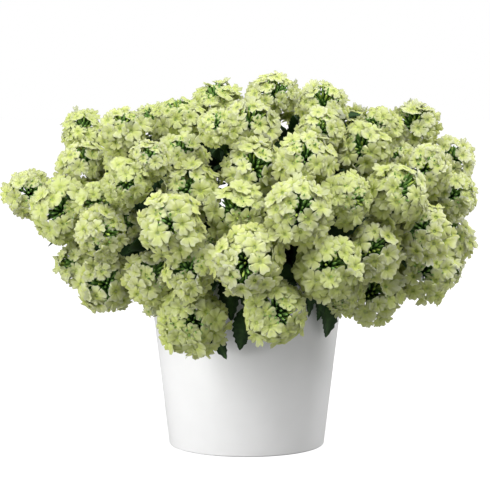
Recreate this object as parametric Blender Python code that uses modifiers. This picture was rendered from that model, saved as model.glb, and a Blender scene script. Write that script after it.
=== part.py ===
"""Verbena in full bloom in a plain white pot, at its real size in metres.

Z is up, the origin is the middle of the pot's foot, and -Y is the side that the plant is seen from.
The plant is one leafy body: a crown that stands in a hole in the soil, with branches, stalks and
toothed leaves. On each stalk sits a flower head, a dome of five-petalled florets raised from a
smaller core.
"""

import math
import random

import bmesh
import bpy
import numpy as np
from mathutils import Matrix, Vector

# Driving dimensions
POT_HEIGHT = 0.150
POT_TOP_RADIUS = 0.0855
POT_FOOT_RADIUS = 0.068
POT_WALL = 0.0028
POT_FLOOR = 0.004
POT_EDGE = 0.0012
POT_STEPS = 36

SOIL_TOP = 0.134
SOIL_SWELL = 0.001
SOIL_EDGE = 0.003
SOIL_STEPS = 24
TOUCH_GAP = 0.0004

CROWN_RADIUS = 0.008
CROWN_DEPTH = 0.026
CROWN_TOP = 0.012
CROWN_SIDES = 8
BRANCHES_AROUND = 8
BRANCH_RADIUS = 0.0026
BRANCH_REACH = 0.5
BRANCH_CLEARANCE = 0.022
STEEP = math.radians(58)
STALK_RADIUS = 0.0012
LEAF_STALK_RADIUS = 0.0009

# How a stalk looks for a clear way: starts on each branch, straight ends under the head, bends
# aside and the turns that each bend is tried at
ROOTS_ON_BRANCH = 6
NEAREST_ROOTS = 20
LEADS = (0.016, 0.010, 0.024, 0.006)
BENDS = (0.0, 0.007, 0.014, 0.022, 0.032, 0.044)
BEND_TURNS = 8
STEM_MARGIN = 0.0010
LEAF_MARGIN = 0.0020
CHECKS_A_SEGMENT = 25

# The mound of bloom is an egg on its side: it is this wide, deep and high about its middle
MOUND_MIDDLE = 0.185
MOUND_HALF_WIDTH = 0.190
MOUND_HALF_DEPTH = 0.150
MOUND_RISE = 0.125
MOUND_DROP = 0.110
HEAD_GAP = 0.0012
DEPTH_STEP = 0.001

# The heads on the side that is seen are laid out as they look from the eye point, on the upright
# plane through the pot's middle: across, up, how far the head stands out of the mound and its
# radius, in millimetres, then where its green eye is, right and up, as shares of the radius
EYE_POINT = (0.0, -2.0, 0.378)
HEADS_IN_VIEW = (
    # Left wing, from its tip inwards
    (-189, 220, 0, 20.5, 0.30, 0.10), (-160, 205, 0, 27.5, 0.06, 0.12),
    (-141, 243, 0, 23, 0.00, 0.45), (-148, 158, 0, 19, -0.60, 0.10),
    (-127, 186, 0, 21.5, 0.30, -0.10), (-129, 211, 0, 19.5, 0.00, 0.05),
    (-123, 141, 0, 24.5, 0.00, 0.05), (-104, 230, 0, 21, 0.10, -0.15),
    # Left shoulder
    (-142, 274, 0, 18.5, -0.10, 0.50), (-108, 275, 0, 21, 0.00, 0.60),
    (-83, 277, 0, 21, -0.20, 0.60), (-59, 283, 0, 23, -0.10, 0.75),
    # Front, over the pot
    (-66, 193, 12, 28, -0.16, 0.03), (-49, 223, 0, 24.5, -0.10, -0.10),
    (-57, 251, 0, 22, 0.00, 0.50), (-9, 203, 4, 27, -0.13, 0.16),
    (6, 241, 0, 26.5, 0.13, 0.30), (-83, 147, 0, 24, 0.28, 0.20),
    (-50, 153, 0, 23.5, 0.07, 0.35), (-47, 107.5, 30, 30, -0.06, 0.02),
    (25, 116, 30, 28.5, 0.16, 0.10), (0, 160, 14, 30.5, 0.03, -0.14),
    (45, 204, 10, 30, 0.06, 0.18), (71, 156, 4, 28, 0.15, 0.15),
    # Top
    (3, 277, 0, 24.5, 0.05, 0.60), (23, 303, 0, 22, 0.10, 0.40),
    (-26, 296, 0, 23, 0.00, 0.80), (66, 296, 0, 22.5, 0.10, 0.60),
    (64, 273, 0, 20, 0.00, 0.30), (51, 249, 0, 25.5, 0.00, 0.40),
    # Right shoulder
    (101, 257, 0, 24, -0.20, 0.40), (114, 276, 0, 20, -0.20, 0.20),
    (145, 278, 0, 22.5, -0.20, 0.30), (86, 216, 0, 23, 0.55, 0.05),
    (131, 219, 0, 26.5, 0.23, 0.36),
    # Right wing, from its tip inwards
    (178, 249, 0, 20, 0.00, 0.30), (178, 218, 0, 21.5, 0.10, 0.05),
    (177, 179, 0, 22, 0.04, 0.50), (155, 241, 0, 23, 0.00, 0.10),
    (156, 187, 0, 24, -0.45, 0.15), (155, 151, 0, 27, 0.10, 0.30),
    (107, 171, 4, 26.5, -0.07, 0.10), (108, 133, 8, 28, 0.03, 0.20),
    (84, 134, 0, 18.5, -0.30, -0.30),
)
# Smaller heads in the gaps, laid out the same way. Each grows into the side of one in front.
HEADS_IN_GAPS = (
    (-25, 278, 0, 17, 0.00, 0.50), (132, 251, 0, 15, 0.00, 0.40), (121, 196, 0, 17, 0.00, 0.20),
    (134, 177, 0, 15, 0.10, 0.00), (159, 209, 0, 15, 0.20, 0.10), (174, 155, 0, 16, 0.60, -0.20),
    (-30, 170, 0, 16, 0.00, 0.30), (-106, 193, 0, 16, 0.20, 0.10), (-104, 251, 0, 20, 0.00, 0.50),
    (-84, 250, 0, 17, 0.20, 0.30), (-79, 126, 0, 14, -0.30, -0.40),
)
BLEND = 0.009

# Heads behind follow a rule: shares of the mound's size above and below its middle, how far round
# and up they go, in degrees, their radii, and how the second of a pair leans out of the first
HEADS_BEHIND = 9
TWINS_BEHIND = 3
BEHIND_DEPTH = 0.140
BEHIND_TOP = (0.87, 0.88)
BEHIND_FOOT = (1.0, 0.76)
BEHIND_ROUND = (16, 148)
BEHIND_UP = (-26, 98)
BEHIND_RADII = (0.0235, 0.0275)
LEVELLING = 1.6
TWIN_SPREAD = 1.55
TWIN_LEAN = 0.45
TWIN_SHARE = 0.96
TWIN_SINK = 0.2
GOLDEN_SHARE = 0.6180339887
PLASTIC_SHARE = 0.7548776662

HEAD_FLATNESS = 0.90
HEAD_UNDERSIDE = 0.58
UNDERSIDE_POLAR = math.radians(128)

# Florets, as angles seen from the middle of the head. A tier is how many, how far from the top
# of the head, and the first one's turn. Small heads have fewer, larger florets.
FULL_TIERS = ((3, math.radians(36), 0.0), (5, math.radians(86), math.radians(24)))
SMALL_TIERS = ((1, 0.0, 0.0), (5, math.radians(76), math.radians(36)))
PETALS = 5
PETAL_TIP = math.radians(29.5)
PETAL_GAP = math.radians(17.0)
SMALL_HEAD_TIP = math.radians(34.0)
SMALL_HEAD_GAP = math.radians(20.0)
TIP_RADIUS = 1.0
GAP_RADIUS = 0.87
THROAT_RADIUS = 0.82
BUD_RADIUS = 0.80
GROOVE_RADIUS = 0.66

# Leaves that hang out over the rim, in millimetres: tip, base and width
HANGING_LEAVES = (
    ((-17, -91, 86), (-29, -87, 126), 14),
    ((-6, -94, 93), (-5, -89, 148), 18),
    ((69, -57, 98), (63, -65, 152), 20),
    ((58, -76, 121), (54, -72, 150), 9),
)
# Leaves that show in the gaps, laid out as the heads are: across and up of the middle, length,
# and how far the tip leans right of upright, in degrees
GAP_LEAVES = (
    (-29, 255, 52, 5), (35, 278, 46, 25), (-101, 205, 46, -40), (-101, 174, 48, -100),
    (-36, 184, 40, 180), (37, 156, 48, 170), (-30, 140, 40, 150), (128, 260, 42, -30),
    (95, 205, 50, -60), (78, 188, 42, -120), (-82, 224, 40, 10), (-7, 134, 44, 180),
)
GAP_LEAF_START = 0.92
GAP_LEAF_STOP = 0.06
RULE_LEAVES = 6
RULE_LEAF_LENGTHS = (0.036, 0.046)
LEAF_WIDTH_SHARE = 0.40
LEAF_THICKNESS = 0.0008
LEAF_ARCH = 0.08
NOTCH = 0.80

SEED = 7

SIGHT_FALL = (EYE_POINT[2] - MOUND_MIDDLE) / -EYE_POINT[1]


def clear_scene():
    for old in list(bpy.data.objects):
        bpy.data.objects.remove(old, do_unlink=True)


def new_collection(name):
    collection = bpy.data.collections.new(name)
    bpy.context.scene.collection.children.link(collection)
    return collection


def new_material(name, colour, roughness):
    material = bpy.data.materials.new(name)
    material.use_nodes = True
    shader = material.node_tree.nodes["Principled BSDF"]
    shader.inputs["Base Color"].default_value = (*colour, 1.0)
    shader.inputs["Roughness"].default_value = roughness
    shader.inputs["Metallic"].default_value = 0.0
    return material


def new_mesh_object(name, points, faces, collection, material):
    mesh = bpy.data.meshes.new(name)
    mesh.from_pydata([tuple(p) for p in points], [], [tuple(f) for f in faces])
    mesh.materials.append(material)
    made = bpy.data.objects.new(name, mesh)
    collection.objects.link(made)
    return made


def turned(name, profile, steps, collection, material):
    """A profile of (radius, height) points swept round Z. It runs down the outer side."""
    mesh = bpy.data.meshes.new(name)
    edges = [(i, i + 1) for i in range(len(profile) - 1)]
    mesh.from_pydata([(radius, 0.0, height) for radius, height in profile], edges, [])
    mesh.materials.append(material)
    made = bpy.data.objects.new(name, mesh)
    collection.objects.link(made)
    screw = made.modifiers.new("Turn", "SCREW")
    screw.angle = math.tau
    screw.steps = steps
    screw.render_steps = steps
    screw.use_merge_vertices = True
    screw.merge_threshold = 0.00001
    screw.use_smooth_shade = True
    return made


def cut_with(target, cutters):
    boolean = target.modifiers.new("Cut", "BOOLEAN")
    boolean.operation = "DIFFERENCE"
    boolean.operand_type = "COLLECTION"
    boolean.collection = cutters
    boolean.solver = "EXACT"


def rod(name, radius, low, high, collection):
    """The upright prism that the crown is, or that cuts its hole."""
    bpy.ops.mesh.primitive_cylinder_add(
        vertices=CROWN_SIDES, radius=radius, depth=high - low, location=(0, 0, (low + high) / 2)
    )
    made = bpy.context.object
    made.name = name
    for home in list(made.users_collection):
        home.objects.unlink(made)
    collection.objects.link(made)
    return made


def pot_outer_radius(height):
    return POT_FOOT_RADIUS + (POT_TOP_RADIUS - POT_FOOT_RADIUS) * height / POT_HEIGHT


def pot_inner_radius(height):
    return pot_outer_radius(height) - POT_WALL


def make_pot(parts, material):
    """A plain tapered pot with a flat foot, a thin wall and a rounded rim."""
    top = pot_inner_radius(POT_HEIGHT)
    profile = (
        (0.0, POT_FLOOR),
        (pot_inner_radius(POT_FLOOR), POT_FLOOR),
        (top, POT_HEIGHT - POT_EDGE),
        (top + POT_WALL / 2, POT_HEIGHT),
        (POT_TOP_RADIUS, POT_HEIGHT - POT_EDGE),
        (pot_outer_radius(POT_EDGE), POT_EDGE),
        (POT_FOOT_RADIUS - POT_EDGE, 0.0),
        (0.0, 0.0),
    )
    return turned("pot", profile, POT_STEPS, parts, material)


def make_soil(parts, cutters, material):
    """Compost that fills the pot to just under its rim, with a plain hole for the crown."""
    bottom = POT_FLOOR + TOUCH_GAP
    slack = 2 * TOUCH_GAP
    rim = pot_inner_radius(SOIL_TOP) - slack
    profile = (
        (0.0, SOIL_TOP),
        (rim * 0.55, SOIL_TOP + SOIL_SWELL),
        (rim - SOIL_EDGE, SOIL_TOP - SOIL_SWELL),
        (rim, SOIL_TOP - SOIL_EDGE),
        (pot_inner_radius(bottom) - slack, bottom),
        (0.0, bottom),
    )
    soil = turned("soil", profile, SOIL_STEPS, parts, material)
    low = SOIL_TOP - CROWN_DEPTH - TOUCH_GAP
    rod("crown_cutter", CROWN_RADIUS + TOUCH_GAP, low, SOIL_TOP + CROWN_TOP, cutters)
    cut_with(soil, cutters)
    return soil


class Head:
    """Where one flower head is: its middle, the way that it faces, and its radius."""

    def __init__(self, middle, facing, radius):
        self.middle = Vector(middle)
        self.facing = Vector(facing).normalized()
        self.radius = radius

    def reach_towards(self, direction):
        """Half its size along a direction: the radius of the flattened ball that it fills."""
        along = direction.dot(self.facing)
        wide = (1.0 - along * along) / self.radius**2
        high = along * along / (self.radius * HEAD_FLATNESS) ** 2
        return 1.0 / math.sqrt(wide + high)

    def stalk_end(self):
        drop = self.radius * HEAD_FLATNESS * HEAD_UNDERSIDE + TOUCH_GAP
        return self.middle - self.facing * drop


def too_close(one, other, gap):
    between = other.middle - one.middle
    distance = between.length
    if distance < 1e-6:
        return True
    direction = between / distance
    return distance < one.reach_towards(direction) + other.reach_towards(direction) + gap


def outward(point):
    """The way that the mound's surface faces near a point. Low heads look level, not down."""
    rise = MOUND_RISE if point.z > MOUND_MIDDLE else MOUND_DROP * LEVELLING
    up = (point.z - MOUND_MIDDLE) / rise**2
    return Vector((point.x / MOUND_HALF_WIDTH**2, point.y / BEHIND_DEPTH**2, up)).normalized()


def mound_depth(across, up):
    """How far out the mound's surface is at a place in the front view."""
    rise = MOUND_RISE if up > MOUND_MIDDLE else MOUND_DROP
    left = 1.0 - (across / MOUND_HALF_WIDTH) ** 2 - ((up - MOUND_MIDDLE) / rise) ** 2
    return MOUND_HALF_DEPTH * math.sqrt(max(left, 0.0))


def as_seen(entry, y):
    """The head of a table row once it stands at the depth y on its line of sight."""
    across, up, _, radius, eye_across, eye_up = entry
    eye = Vector(EYE_POINT)
    scale = (y - eye.y) / -eye.y
    middle = eye + (Vector((across / 1000, 0.0, up / 1000)) - eye) * scale
    towards = -math.sqrt(max(1.0 - eye_across**2 - eye_up**2, 0.0))
    return Head(middle, (eye_across, towards, eye_up + SIGHT_FALL), radius / 1000 * scale)


def start_depth(entry):
    across, up, proud = entry[0] / 1000, entry[1] / 1000, entry[2] / 1000
    return -mound_depth(across, up) - proud


def heads_in_view():
    """Each head starts on the mound's surface and goes back until it clears the heads before it."""
    placed = {}
    rows = sorted(range(len(HEADS_IN_VIEW)), key=lambda k: start_depth(HEADS_IN_VIEW[k]))
    for row in rows:
        y = start_depth(HEADS_IN_VIEW[row])
        head = as_seen(HEADS_IN_VIEW[row], y)
        while any(too_close(head, other, HEAD_GAP) for other in placed.values()):
            y += DEPTH_STEP
            head = as_seen(HEADS_IN_VIEW[row], y)
        placed[row] = head
    return [placed[k] for k in range(len(HEADS_IN_VIEW))]


def fill_gaps(groups):
    """Each small head goes back until it just meets one head and clears all the others."""
    for entry in HEADS_IN_GAPS:
        y = start_depth(entry)
        while True:
            head = as_seen(entry, y)
            near = [g for g in groups if any(too_close(head, o, HEAD_GAP) for o in g)]
            if not near:
                groups.append([head])
                break
            if len(near) == 1 and not any(too_close(head, o, -BLEND) for o in near[0]):
                near[0].append(head)
                break
            y += DEPTH_STEP


def places_behind():
    """Places spread evenly over the back of the mound, from a walk of two fixed strides."""
    for k in range(4000):
        across = BEHIND_ROUND[0] + BEHIND_ROUND[1] * ((k * GOLDEN_SHARE) % 1.0)
        up = BEHIND_UP[0] + BEHIND_UP[1] * ((k * PLASTIC_SHARE + 0.31) % 1.0)
        across, up = math.radians(across), math.radians(up)
        (high, wide), rise = (BEHIND_TOP, MOUND_RISE) if up > 0 else (BEHIND_FOOT, MOUND_DROP)
        yield Vector(
            (
                MOUND_HALF_WIDTH * wide * math.cos(across) * math.cos(up),
                BEHIND_DEPTH * math.sin(across) * math.cos(up),
                MOUND_MIDDLE + rise * high * math.sin(up),
            )
        )


def twin_of(head, side):
    """A second head that grows into the side of the first."""
    along = head.facing.cross(Vector((0, 0, 1))).normalized() * side
    middle = head.middle + along * head.radius * TWIN_SPREAD
    middle -= head.facing * head.radius * TWIN_SINK
    return Head(middle, head.facing + along * TWIN_LEAN, head.radius * TWIN_SHARE)


def heads_behind(others, draw):
    """Groups of one or two heads for the back, each clear of the heads before it."""
    taken = list(others)
    groups = []
    for middle in places_behind():
        twins_left = TWINS_BEHIND - sum(len(group) == 2 for group in groups)
        singles_left = HEADS_BEHIND - sum(len(group) == 1 for group in groups)
        if not twins_left + singles_left:
            break
        first = Head(middle, outward(middle), draw.uniform(*BEHIND_RADII))
        if any(too_close(first, other, HEAD_GAP) for other in taken):
            continue
        group = [first]
        if twins_left:
            for side in (1, -1):
                second = twin_of(first, side)
                if not any(too_close(second, other, HEAD_GAP) for other in taken):
                    group.append(second)
                    break
        if len(group) == 1 and not singles_left:
            continue
        groups.append(group)
        taken += group
    return groups


def on_ball(polar, azimuth):
    return Vector(
        (
            math.sin(polar) * math.cos(azimuth),
            math.sin(polar) * math.sin(azimuth),
            math.cos(polar),
        )
    )


def head_relief(small):
    """Directions from the middle of a head of radius 1, each with how far out its point is."""
    found = []
    tip, gap = (SMALL_HEAD_TIP, SMALL_HEAD_GAP) if small else (PETAL_TIP, PETAL_GAP)
    for count, polar, turn in SMALL_TIERS if small else FULL_TIERS:
        for k in range(count):
            azimuth = turn + math.tau * k / count
            centre = on_ball(polar, azimuth)
            down = on_ball(polar + math.pi / 2, azimuth)
            aside = centre.cross(down)
            found.append((centre, THROAT_RADIUS))
            for j in range(2 * PETALS):
                swing = math.pi * j / PETALS
                open_angle, out = (tip, TIP_RADIUS) if j % 2 == 0 else (gap, GAP_RADIUS)
                lean = down * math.cos(swing) + aside * math.sin(swing)
                found.append(
                    (centre * math.cos(open_angle) + lean * math.sin(open_angle), out)
                )
    if small:
        for k in range(5):
            found.append((on_ball(math.radians(47), math.tau * k / 5), GROOVE_RADIUS))
    else:
        found.append((on_ball(0.0, 0.0), BUD_RADIUS))
        for k in range(5):
            found.append((on_ball(math.radians(67), math.tau * (k + 0.8) / 5), GROOVE_RADIUS))
    for k in range(6):
        found.append((on_ball(UNDERSIDE_POLAR, math.tau * k / 6), None))
    return found


def head_shape(radius, small):
    """The relief's hull on a ball gives the faces. Then each point goes to its own height."""
    relief = head_relief(small)
    shape = bmesh.new()
    for direction, _ in relief:
        shape.verts.new(direction)
    bmesh.ops.convex_hull(shape, input=shape.verts)
    bmesh.ops.triangulate(shape, faces=shape.faces)
    shape.verts.ensure_lookup_table()
    for vertex, (direction, out) in zip(shape.verts, relief):
        if out is None:
            out = -HEAD_UNDERSIDE / direction.z
        vertex.co = direction * out * radius
        vertex.co.z *= HEAD_FLATNESS
    return shape


def make_head(name, head, small, spin, collection, material):
    """One flower head: florets in tiers round a bud, with a flat underside for its stalk."""
    shape = head_shape(head.radius, small)
    mesh = bpy.data.meshes.new(name)
    shape.to_mesh(mesh)
    shape.free()
    mesh.materials.append(material)
    made = bpy.data.objects.new(name, mesh)
    collection.objects.link(made)
    turn = head.facing.to_track_quat("Z", "Y").to_matrix().to_4x4()
    made.matrix_world = (
        Matrix.Translation(head.middle) @ turn @ Matrix.Rotation(spin, 4, "Z")
    )
    return made


def keep_outer_skin(mesh):
    """Drops the small shells that a union can seal inside, and keeps the largest."""
    shape = bmesh.new()
    shape.from_mesh(mesh)
    left = set(shape.faces)
    shells = []
    while left:
        shell, edge = set(), [left.pop()]
        while edge:
            face = edge.pop()
            shell.add(face)
            for beside in (other for line in face.edges for other in line.link_faces):
                if beside in left:
                    left.remove(beside)
                    edge.append(beside)
        shells.append(shell)
    shells.sort(key=len)
    inner = [face for shell in shells[:-1] for face in shell]
    bmesh.ops.delete(shape, geom=inner, context="FACES")
    shape.to_mesh(mesh)
    shape.free()


def apply_union(target, joined):
    """Joins the meshes of a collection into the target, and removes them."""
    boolean = target.modifiers.new("Join", "BOOLEAN")
    boolean.operation = "UNION"
    boolean.operand_type = "COLLECTION"
    boolean.collection = joined
    boolean.solver = "EXACT"
    bpy.context.view_layer.update()
    graph = bpy.context.evaluated_depsgraph_get()
    mesh = bpy.data.meshes.new_from_object(target.evaluated_get(graph))
    target.modifiers.clear()
    target.data = mesh
    keep_outer_skin(mesh)
    for old in list(joined.objects):
        bpy.data.objects.remove(old, do_unlink=True)
    bpy.data.collections.remove(joined)


def bezier(ends, share):
    a, b, c, d = ends
    rest = 1.0 - share
    return a * rest**3 + b * 3 * rest**2 * share + c * 3 * rest * share**2 + d * share**3


def bezier_points(ends, segments):
    return [bezier(ends, k / segments) for k in range(segments + 1)]


def along_line(points, share):
    """The point at a share of the way along a broken line of even parts."""
    place = share * (len(points) - 1)
    k = int(place)
    return points[k].lerp(points[k + 1], place - k)


class Crowd:
    """Everything that a stem or a leaf must keep clear of: the heads, the pot and the soil."""

    def __init__(self, heads):
        self.heads = heads
        self.middles = np.array([head.middle for head in heads])
        self.facings = np.array([head.facing for head in heads])
        self.radii = np.array([head.radius for head in heads])

    def is_clear(self, line, margin, own=None):
        """True if the broken line through the points touches nothing, its own head apart."""
        line = np.array(line)
        shares = np.linspace(0.0, 1.0, CHECKS_A_SEGMENT)[:, None, None]
        points = (line[:-1] + (line[1:] - line[:-1]) * shares).reshape(-1, 3)
        away = points[:, None, :] - self.middles
        along = (away * self.facings).sum(axis=2)
        across = (away * away).sum(axis=2) - along**2
        inside = across / (self.radii + margin) ** 2
        inside += (along / (self.radii * HEAD_FLATNESS + margin)) ** 2
        inside[along < -(self.radii * HEAD_FLATNESS * HEAD_UNDERSIDE + margin)] = 2.0
        if own is not None:
            inside[:, self.heads.index(own)] = 2.0
        if inside.min() < 1.0:
            return False
        reach = np.hypot(points[:, 0], points[:, 1])
        low = points[:, 2] < POT_HEIGHT + margin
        in_pot = reach < pot_inner_radius(points[:, 2]) - margin
        beside = reach > pot_outer_radius(points[:, 2]) + margin
        over_soil = points[:, 2] > SOIL_TOP + SOIL_SWELL + margin
        return not (low & ~beside & ~(in_pot & over_soil)).any()


def branch_ways(heads):
    """The branches, each as the points of a broken line from the crown out."""
    crown = Vector((0, 0, SOIL_TOP + CROWN_TOP))
    fed = [[] for _ in range(BRANCHES_AROUND + 1)]
    for head in heads:
        way = head.stalk_end() - crown
        steep = math.atan2(way.z, math.hypot(way.x, way.y))
        if steep > STEEP:
            fed[BRANCHES_AROUND].append(head)
            continue
        sector = math.atan2(way.y, way.x) / math.tau * BRANCHES_AROUND
        fed[round(sector) % BRANCHES_AROUND].append(head)
    ways = []
    for group in filter(None, fed):
        mean = sum((head.stalk_end() for head in group), Vector()) / len(group)
        tip = crown + (mean - crown) * BRANCH_REACH
        tip.z = max(tip.z, POT_HEIGHT + BRANCH_CLEARANCE)
        flat = Vector((tip.x, tip.y, 0)) * 0.16
        start = Vector((0, 0, SOIL_TOP + 0.006)) + flat * 0.15
        ends = (start, start + Vector((0, 0, 0.024)) + flat, tip - (tip - crown) * 0.35, tip)
        ways.append(bezier_points(ends, 4))
    return ways


def stalk_way(number, head, branches, crowd):
    """The shortest clear stalk to the underside of a head, bent aside where another is in the way."""
    end = head.stalk_end()
    roots = []
    for branch in branches:
        for k in range(ROOTS_ON_BRANCH):
            share = 0.98 - 0.5 * ((k + (number * GOLDEN_SHARE) % 1.0) / ROOTS_ON_BRANCH)
            roots.append(along_line(branch, share))
    roots.sort(key=lambda root: (root - end).length)
    for bend in BENDS:
        for root in roots[:NEAREST_ROOTS]:
            for lead in LEADS:
                before = end - head.facing * lead
                line = (before - root).normalized()
                side = line.orthogonal().normalized()
                for k in range(BEND_TURNS if bend else 1):
                    push = Matrix.Rotation(math.tau * k / BEND_TURNS, 3, line) @ side * bend
                    points = [root, before, end]
                    if bend:
                        points.insert(1, root.lerp(before, 0.5) + push)
                    if crowd.is_clear(points, STALK_RADIUS + STEM_MARGIN, head):
                        return points
    return None


def make_tube(name, points, radius, collection, material):
    """A square stem through the points, as a closed mesh."""
    curve = bpy.data.curves.new(name, "CURVE")
    curve.dimensions = "3D"
    curve.bevel_depth = radius
    curve.bevel_resolution = 0
    curve.use_fill_caps = True
    spline = curve.splines.new("POLY")
    spline.points.add(len(points) - 1)
    for knot, point in zip(spline.points, points):
        knot.co = (*point, 1.0)
    drawn = bpy.data.objects.new(name + "_line", curve)
    bpy.context.scene.collection.objects.link(drawn)
    bpy.context.view_layer.update()
    graph = bpy.context.evaluated_depsgraph_get()
    mesh = bpy.data.meshes.new_from_object(drawn.evaluated_get(graph))
    shape = bmesh.new()
    shape.from_mesh(mesh)
    bmesh.ops.remove_doubles(shape, verts=shape.verts, dist=0.00001)
    shape.to_mesh(mesh)
    shape.free()
    mesh.materials.clear()
    mesh.materials.append(material)
    made = bpy.data.objects.new(name, mesh)
    made.matrix_world = drawn.matrix_world
    collection.objects.link(made)
    bpy.data.objects.remove(drawn, do_unlink=True)
    bpy.data.curves.remove(curve)
    return made


class Leaf:
    """One toothed blade: where it is rooted, its base, tip, upper side, width and teeth a side."""

    def __init__(self, way, tip, normal, width, teeth):
        self.way = way
        self.base = way[-1]
        self.tip = tip
        self.along = (tip - self.base).normalized()
        self.aside = self.along.cross(normal).normalized()
        self.normal = self.aside.cross(self.along).normalized()
        self.length = (tip - self.base).length
        self.width = width
        self.teeth = teeth

    def point(self, share, across, lift):
        arch = math.sin(math.pi * share) * self.length * LEAF_ARCH
        return (
            self.base
            + self.along * (self.length * share)
            + self.aside * across
            + self.normal * (arch + lift)
        )

    def half_width(self, share):
        """Widest below the middle and pointed at the tip."""
        return math.sin(math.pi * share**0.80) ** 0.85 * self.width / 2

    def rib(self):
        return [self.point(k / self.teeth, 0.0, -0.0006) for k in range(self.teeth + 1)]

    def edge(self, side):
        """Teeth and the notches between them, from base to tip, turned up along the edge."""
        found = []
        for k in range(1, 2 * self.teeth):
            share = k / (2 * self.teeth)
            reach, ahead = (1.0, 0.02) if k % 2 else (NOTCH, -0.01)
            across = max(self.half_width(share) * reach, 0.0006)
            found.append(self.point(share + ahead, across * side, across * 0.25))
        return found

    def is_clear(self, crowd):
        rib, left, right = self.rib(), self.edge(-1), self.edge(1)
        lines = [rib] + [[l, r] for l, r in zip(left[::2], right[::2])]
        return all(crowd.is_clear(line, LEAF_MARGIN) for line in lines)


def make_leaf(name, leaf, collection, material):
    """The blade's middle surface in triangles, given its thickness by Solidify."""
    rib, left, right = leaf.rib(), leaf.edge(-1), leaf.edge(1)
    first = {1: len(rib), -1: len(rib) + len(left)}
    faces = []
    for turn in (1, -1):
        edge = [0] + list(range(first[turn], first[turn] + len(left))) + [leaf.teeth]
        for k in range(leaf.teeth):
            low, mid, high = edge[2 * k], edge[2 * k + 1], edge[2 * k + 2]
            strips = [(k, k + 1, mid)]
            if low != k:
                strips.append((low, k, mid))
            if high != k + 1:
                strips.append((k + 1, high, mid))
            faces += [strip[::turn] for strip in strips]
    blade = new_mesh_object(name, rib + left + right, faces, collection, material)
    thick = blade.modifiers.new("Thickness", "SOLIDIFY")
    thick.thickness = LEAF_THICKNESS
    thick.offset = 0.0
    bpy.context.view_layer.update()
    graph = bpy.context.evaluated_depsgraph_get()
    mesh = bpy.data.meshes.new_from_object(blade.evaluated_get(graph))
    blade.modifiers.clear()
    blade.data = mesh
    return blade


def way_to_stem(base, over, stalks, crowd):
    """A leaf stalk to the base from the nearest stem that it reaches without crossing a head."""
    roots = [a.lerp(b, 0.5) for points in stalks for a, b in zip(points, points[1:-1])]
    for root in sorted(roots, key=lambda point: (point - over).length)[:60]:
        way = [root, over, base] if over != base else [root, base]
        if crowd.is_clear(way, LEAF_MARGIN):
            return way
    return None


def hanging_leaves(stalks, crowd):
    """Leaves whose blades hang outside the rim, each on a leaf stalk that comes over it."""
    found = []
    for tip, base, width in HANGING_LEAVES:
        tip, base = Vector(tip) / 1000, Vector(base) / 1000
        for shift in (0.0, 0.008, -0.008, 0.016, -0.016, 0.024, -0.024, 0.032):
            over = Vector((base.x * 0.97 + shift, base.y * 0.985, POT_HEIGHT + 0.010))
            way = way_to_stem(base, over, stalks, crowd)
            if way is not None:
                break
        if way is None:
            print("no way to the hanging leaf at", base)
            continue
        found.append(Leaf(way, tip, Vector((tip.x, tip.y, 0.0)), width / 1000, 5))
    return found


def gap_leaves(stalks, crowd):
    """Leaves that face the viewer in the gaps, each behind the heads round it."""
    found = []
    for across, up, length, lean in GAP_LEAVES:
        swing = math.radians(lean)
        y = -mound_depth(across / 1000, up / 1000) * GAP_LEAF_START
        direction = Vector((math.sin(swing), 0.12, math.cos(swing))).normalized()
        while y < GAP_LEAF_STOP:
            middle = as_seen((across, up, 0, 1, 0, 0), y).middle
            base = middle - direction * length / 2000
            tip = middle + direction * length / 2000
            way = way_to_stem(base, base, stalks, crowd)
            if way is not None:
                leaf = Leaf(way, tip, Vector((0, -1, 0.3)), LEAF_WIDTH_SHARE * length / 1000, 3)
                if leaf.is_clear(crowd):
                    found.append(leaf)
                    break
            y += 2 * DEPTH_STEP
        else:
            print("no room for the leaf at", across, up)
    return found


def rule_leaves(stalks, crowd, draw):
    """Leaves along the other stalks, each turned to the first side where it has room."""
    found = []
    for points in stalks[::-1]:
        root = points[0].lerp(points[1], 0.6)
        along = (points[1] - points[0]).normalized()
        out = Vector((root.x, root.y, 0.0)).normalized()
        length = draw.uniform(*RULE_LEAF_LENGTHS)
        for turn in (1, -1, 2, -2, 3, -3, 0):
            spin = Matrix.Rotation(turn * math.radians(42), 3, along)
            level = out - along * out.dot(along)
            way = (spin @ level.normalized() + along * 0.5).normalized()
            tip = root + way * length + Vector((0, 0, -0.004))
            normal = way.cross(along.cross(way))
            leaf = Leaf([root - way * 0.0006], tip, normal, LEAF_WIDTH_SHARE * length, 3)
            if leaf.is_clear(crowd):
                found.append(leaf)
                break
        if len(found) == RULE_LEAVES:
            break
    return found


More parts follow.
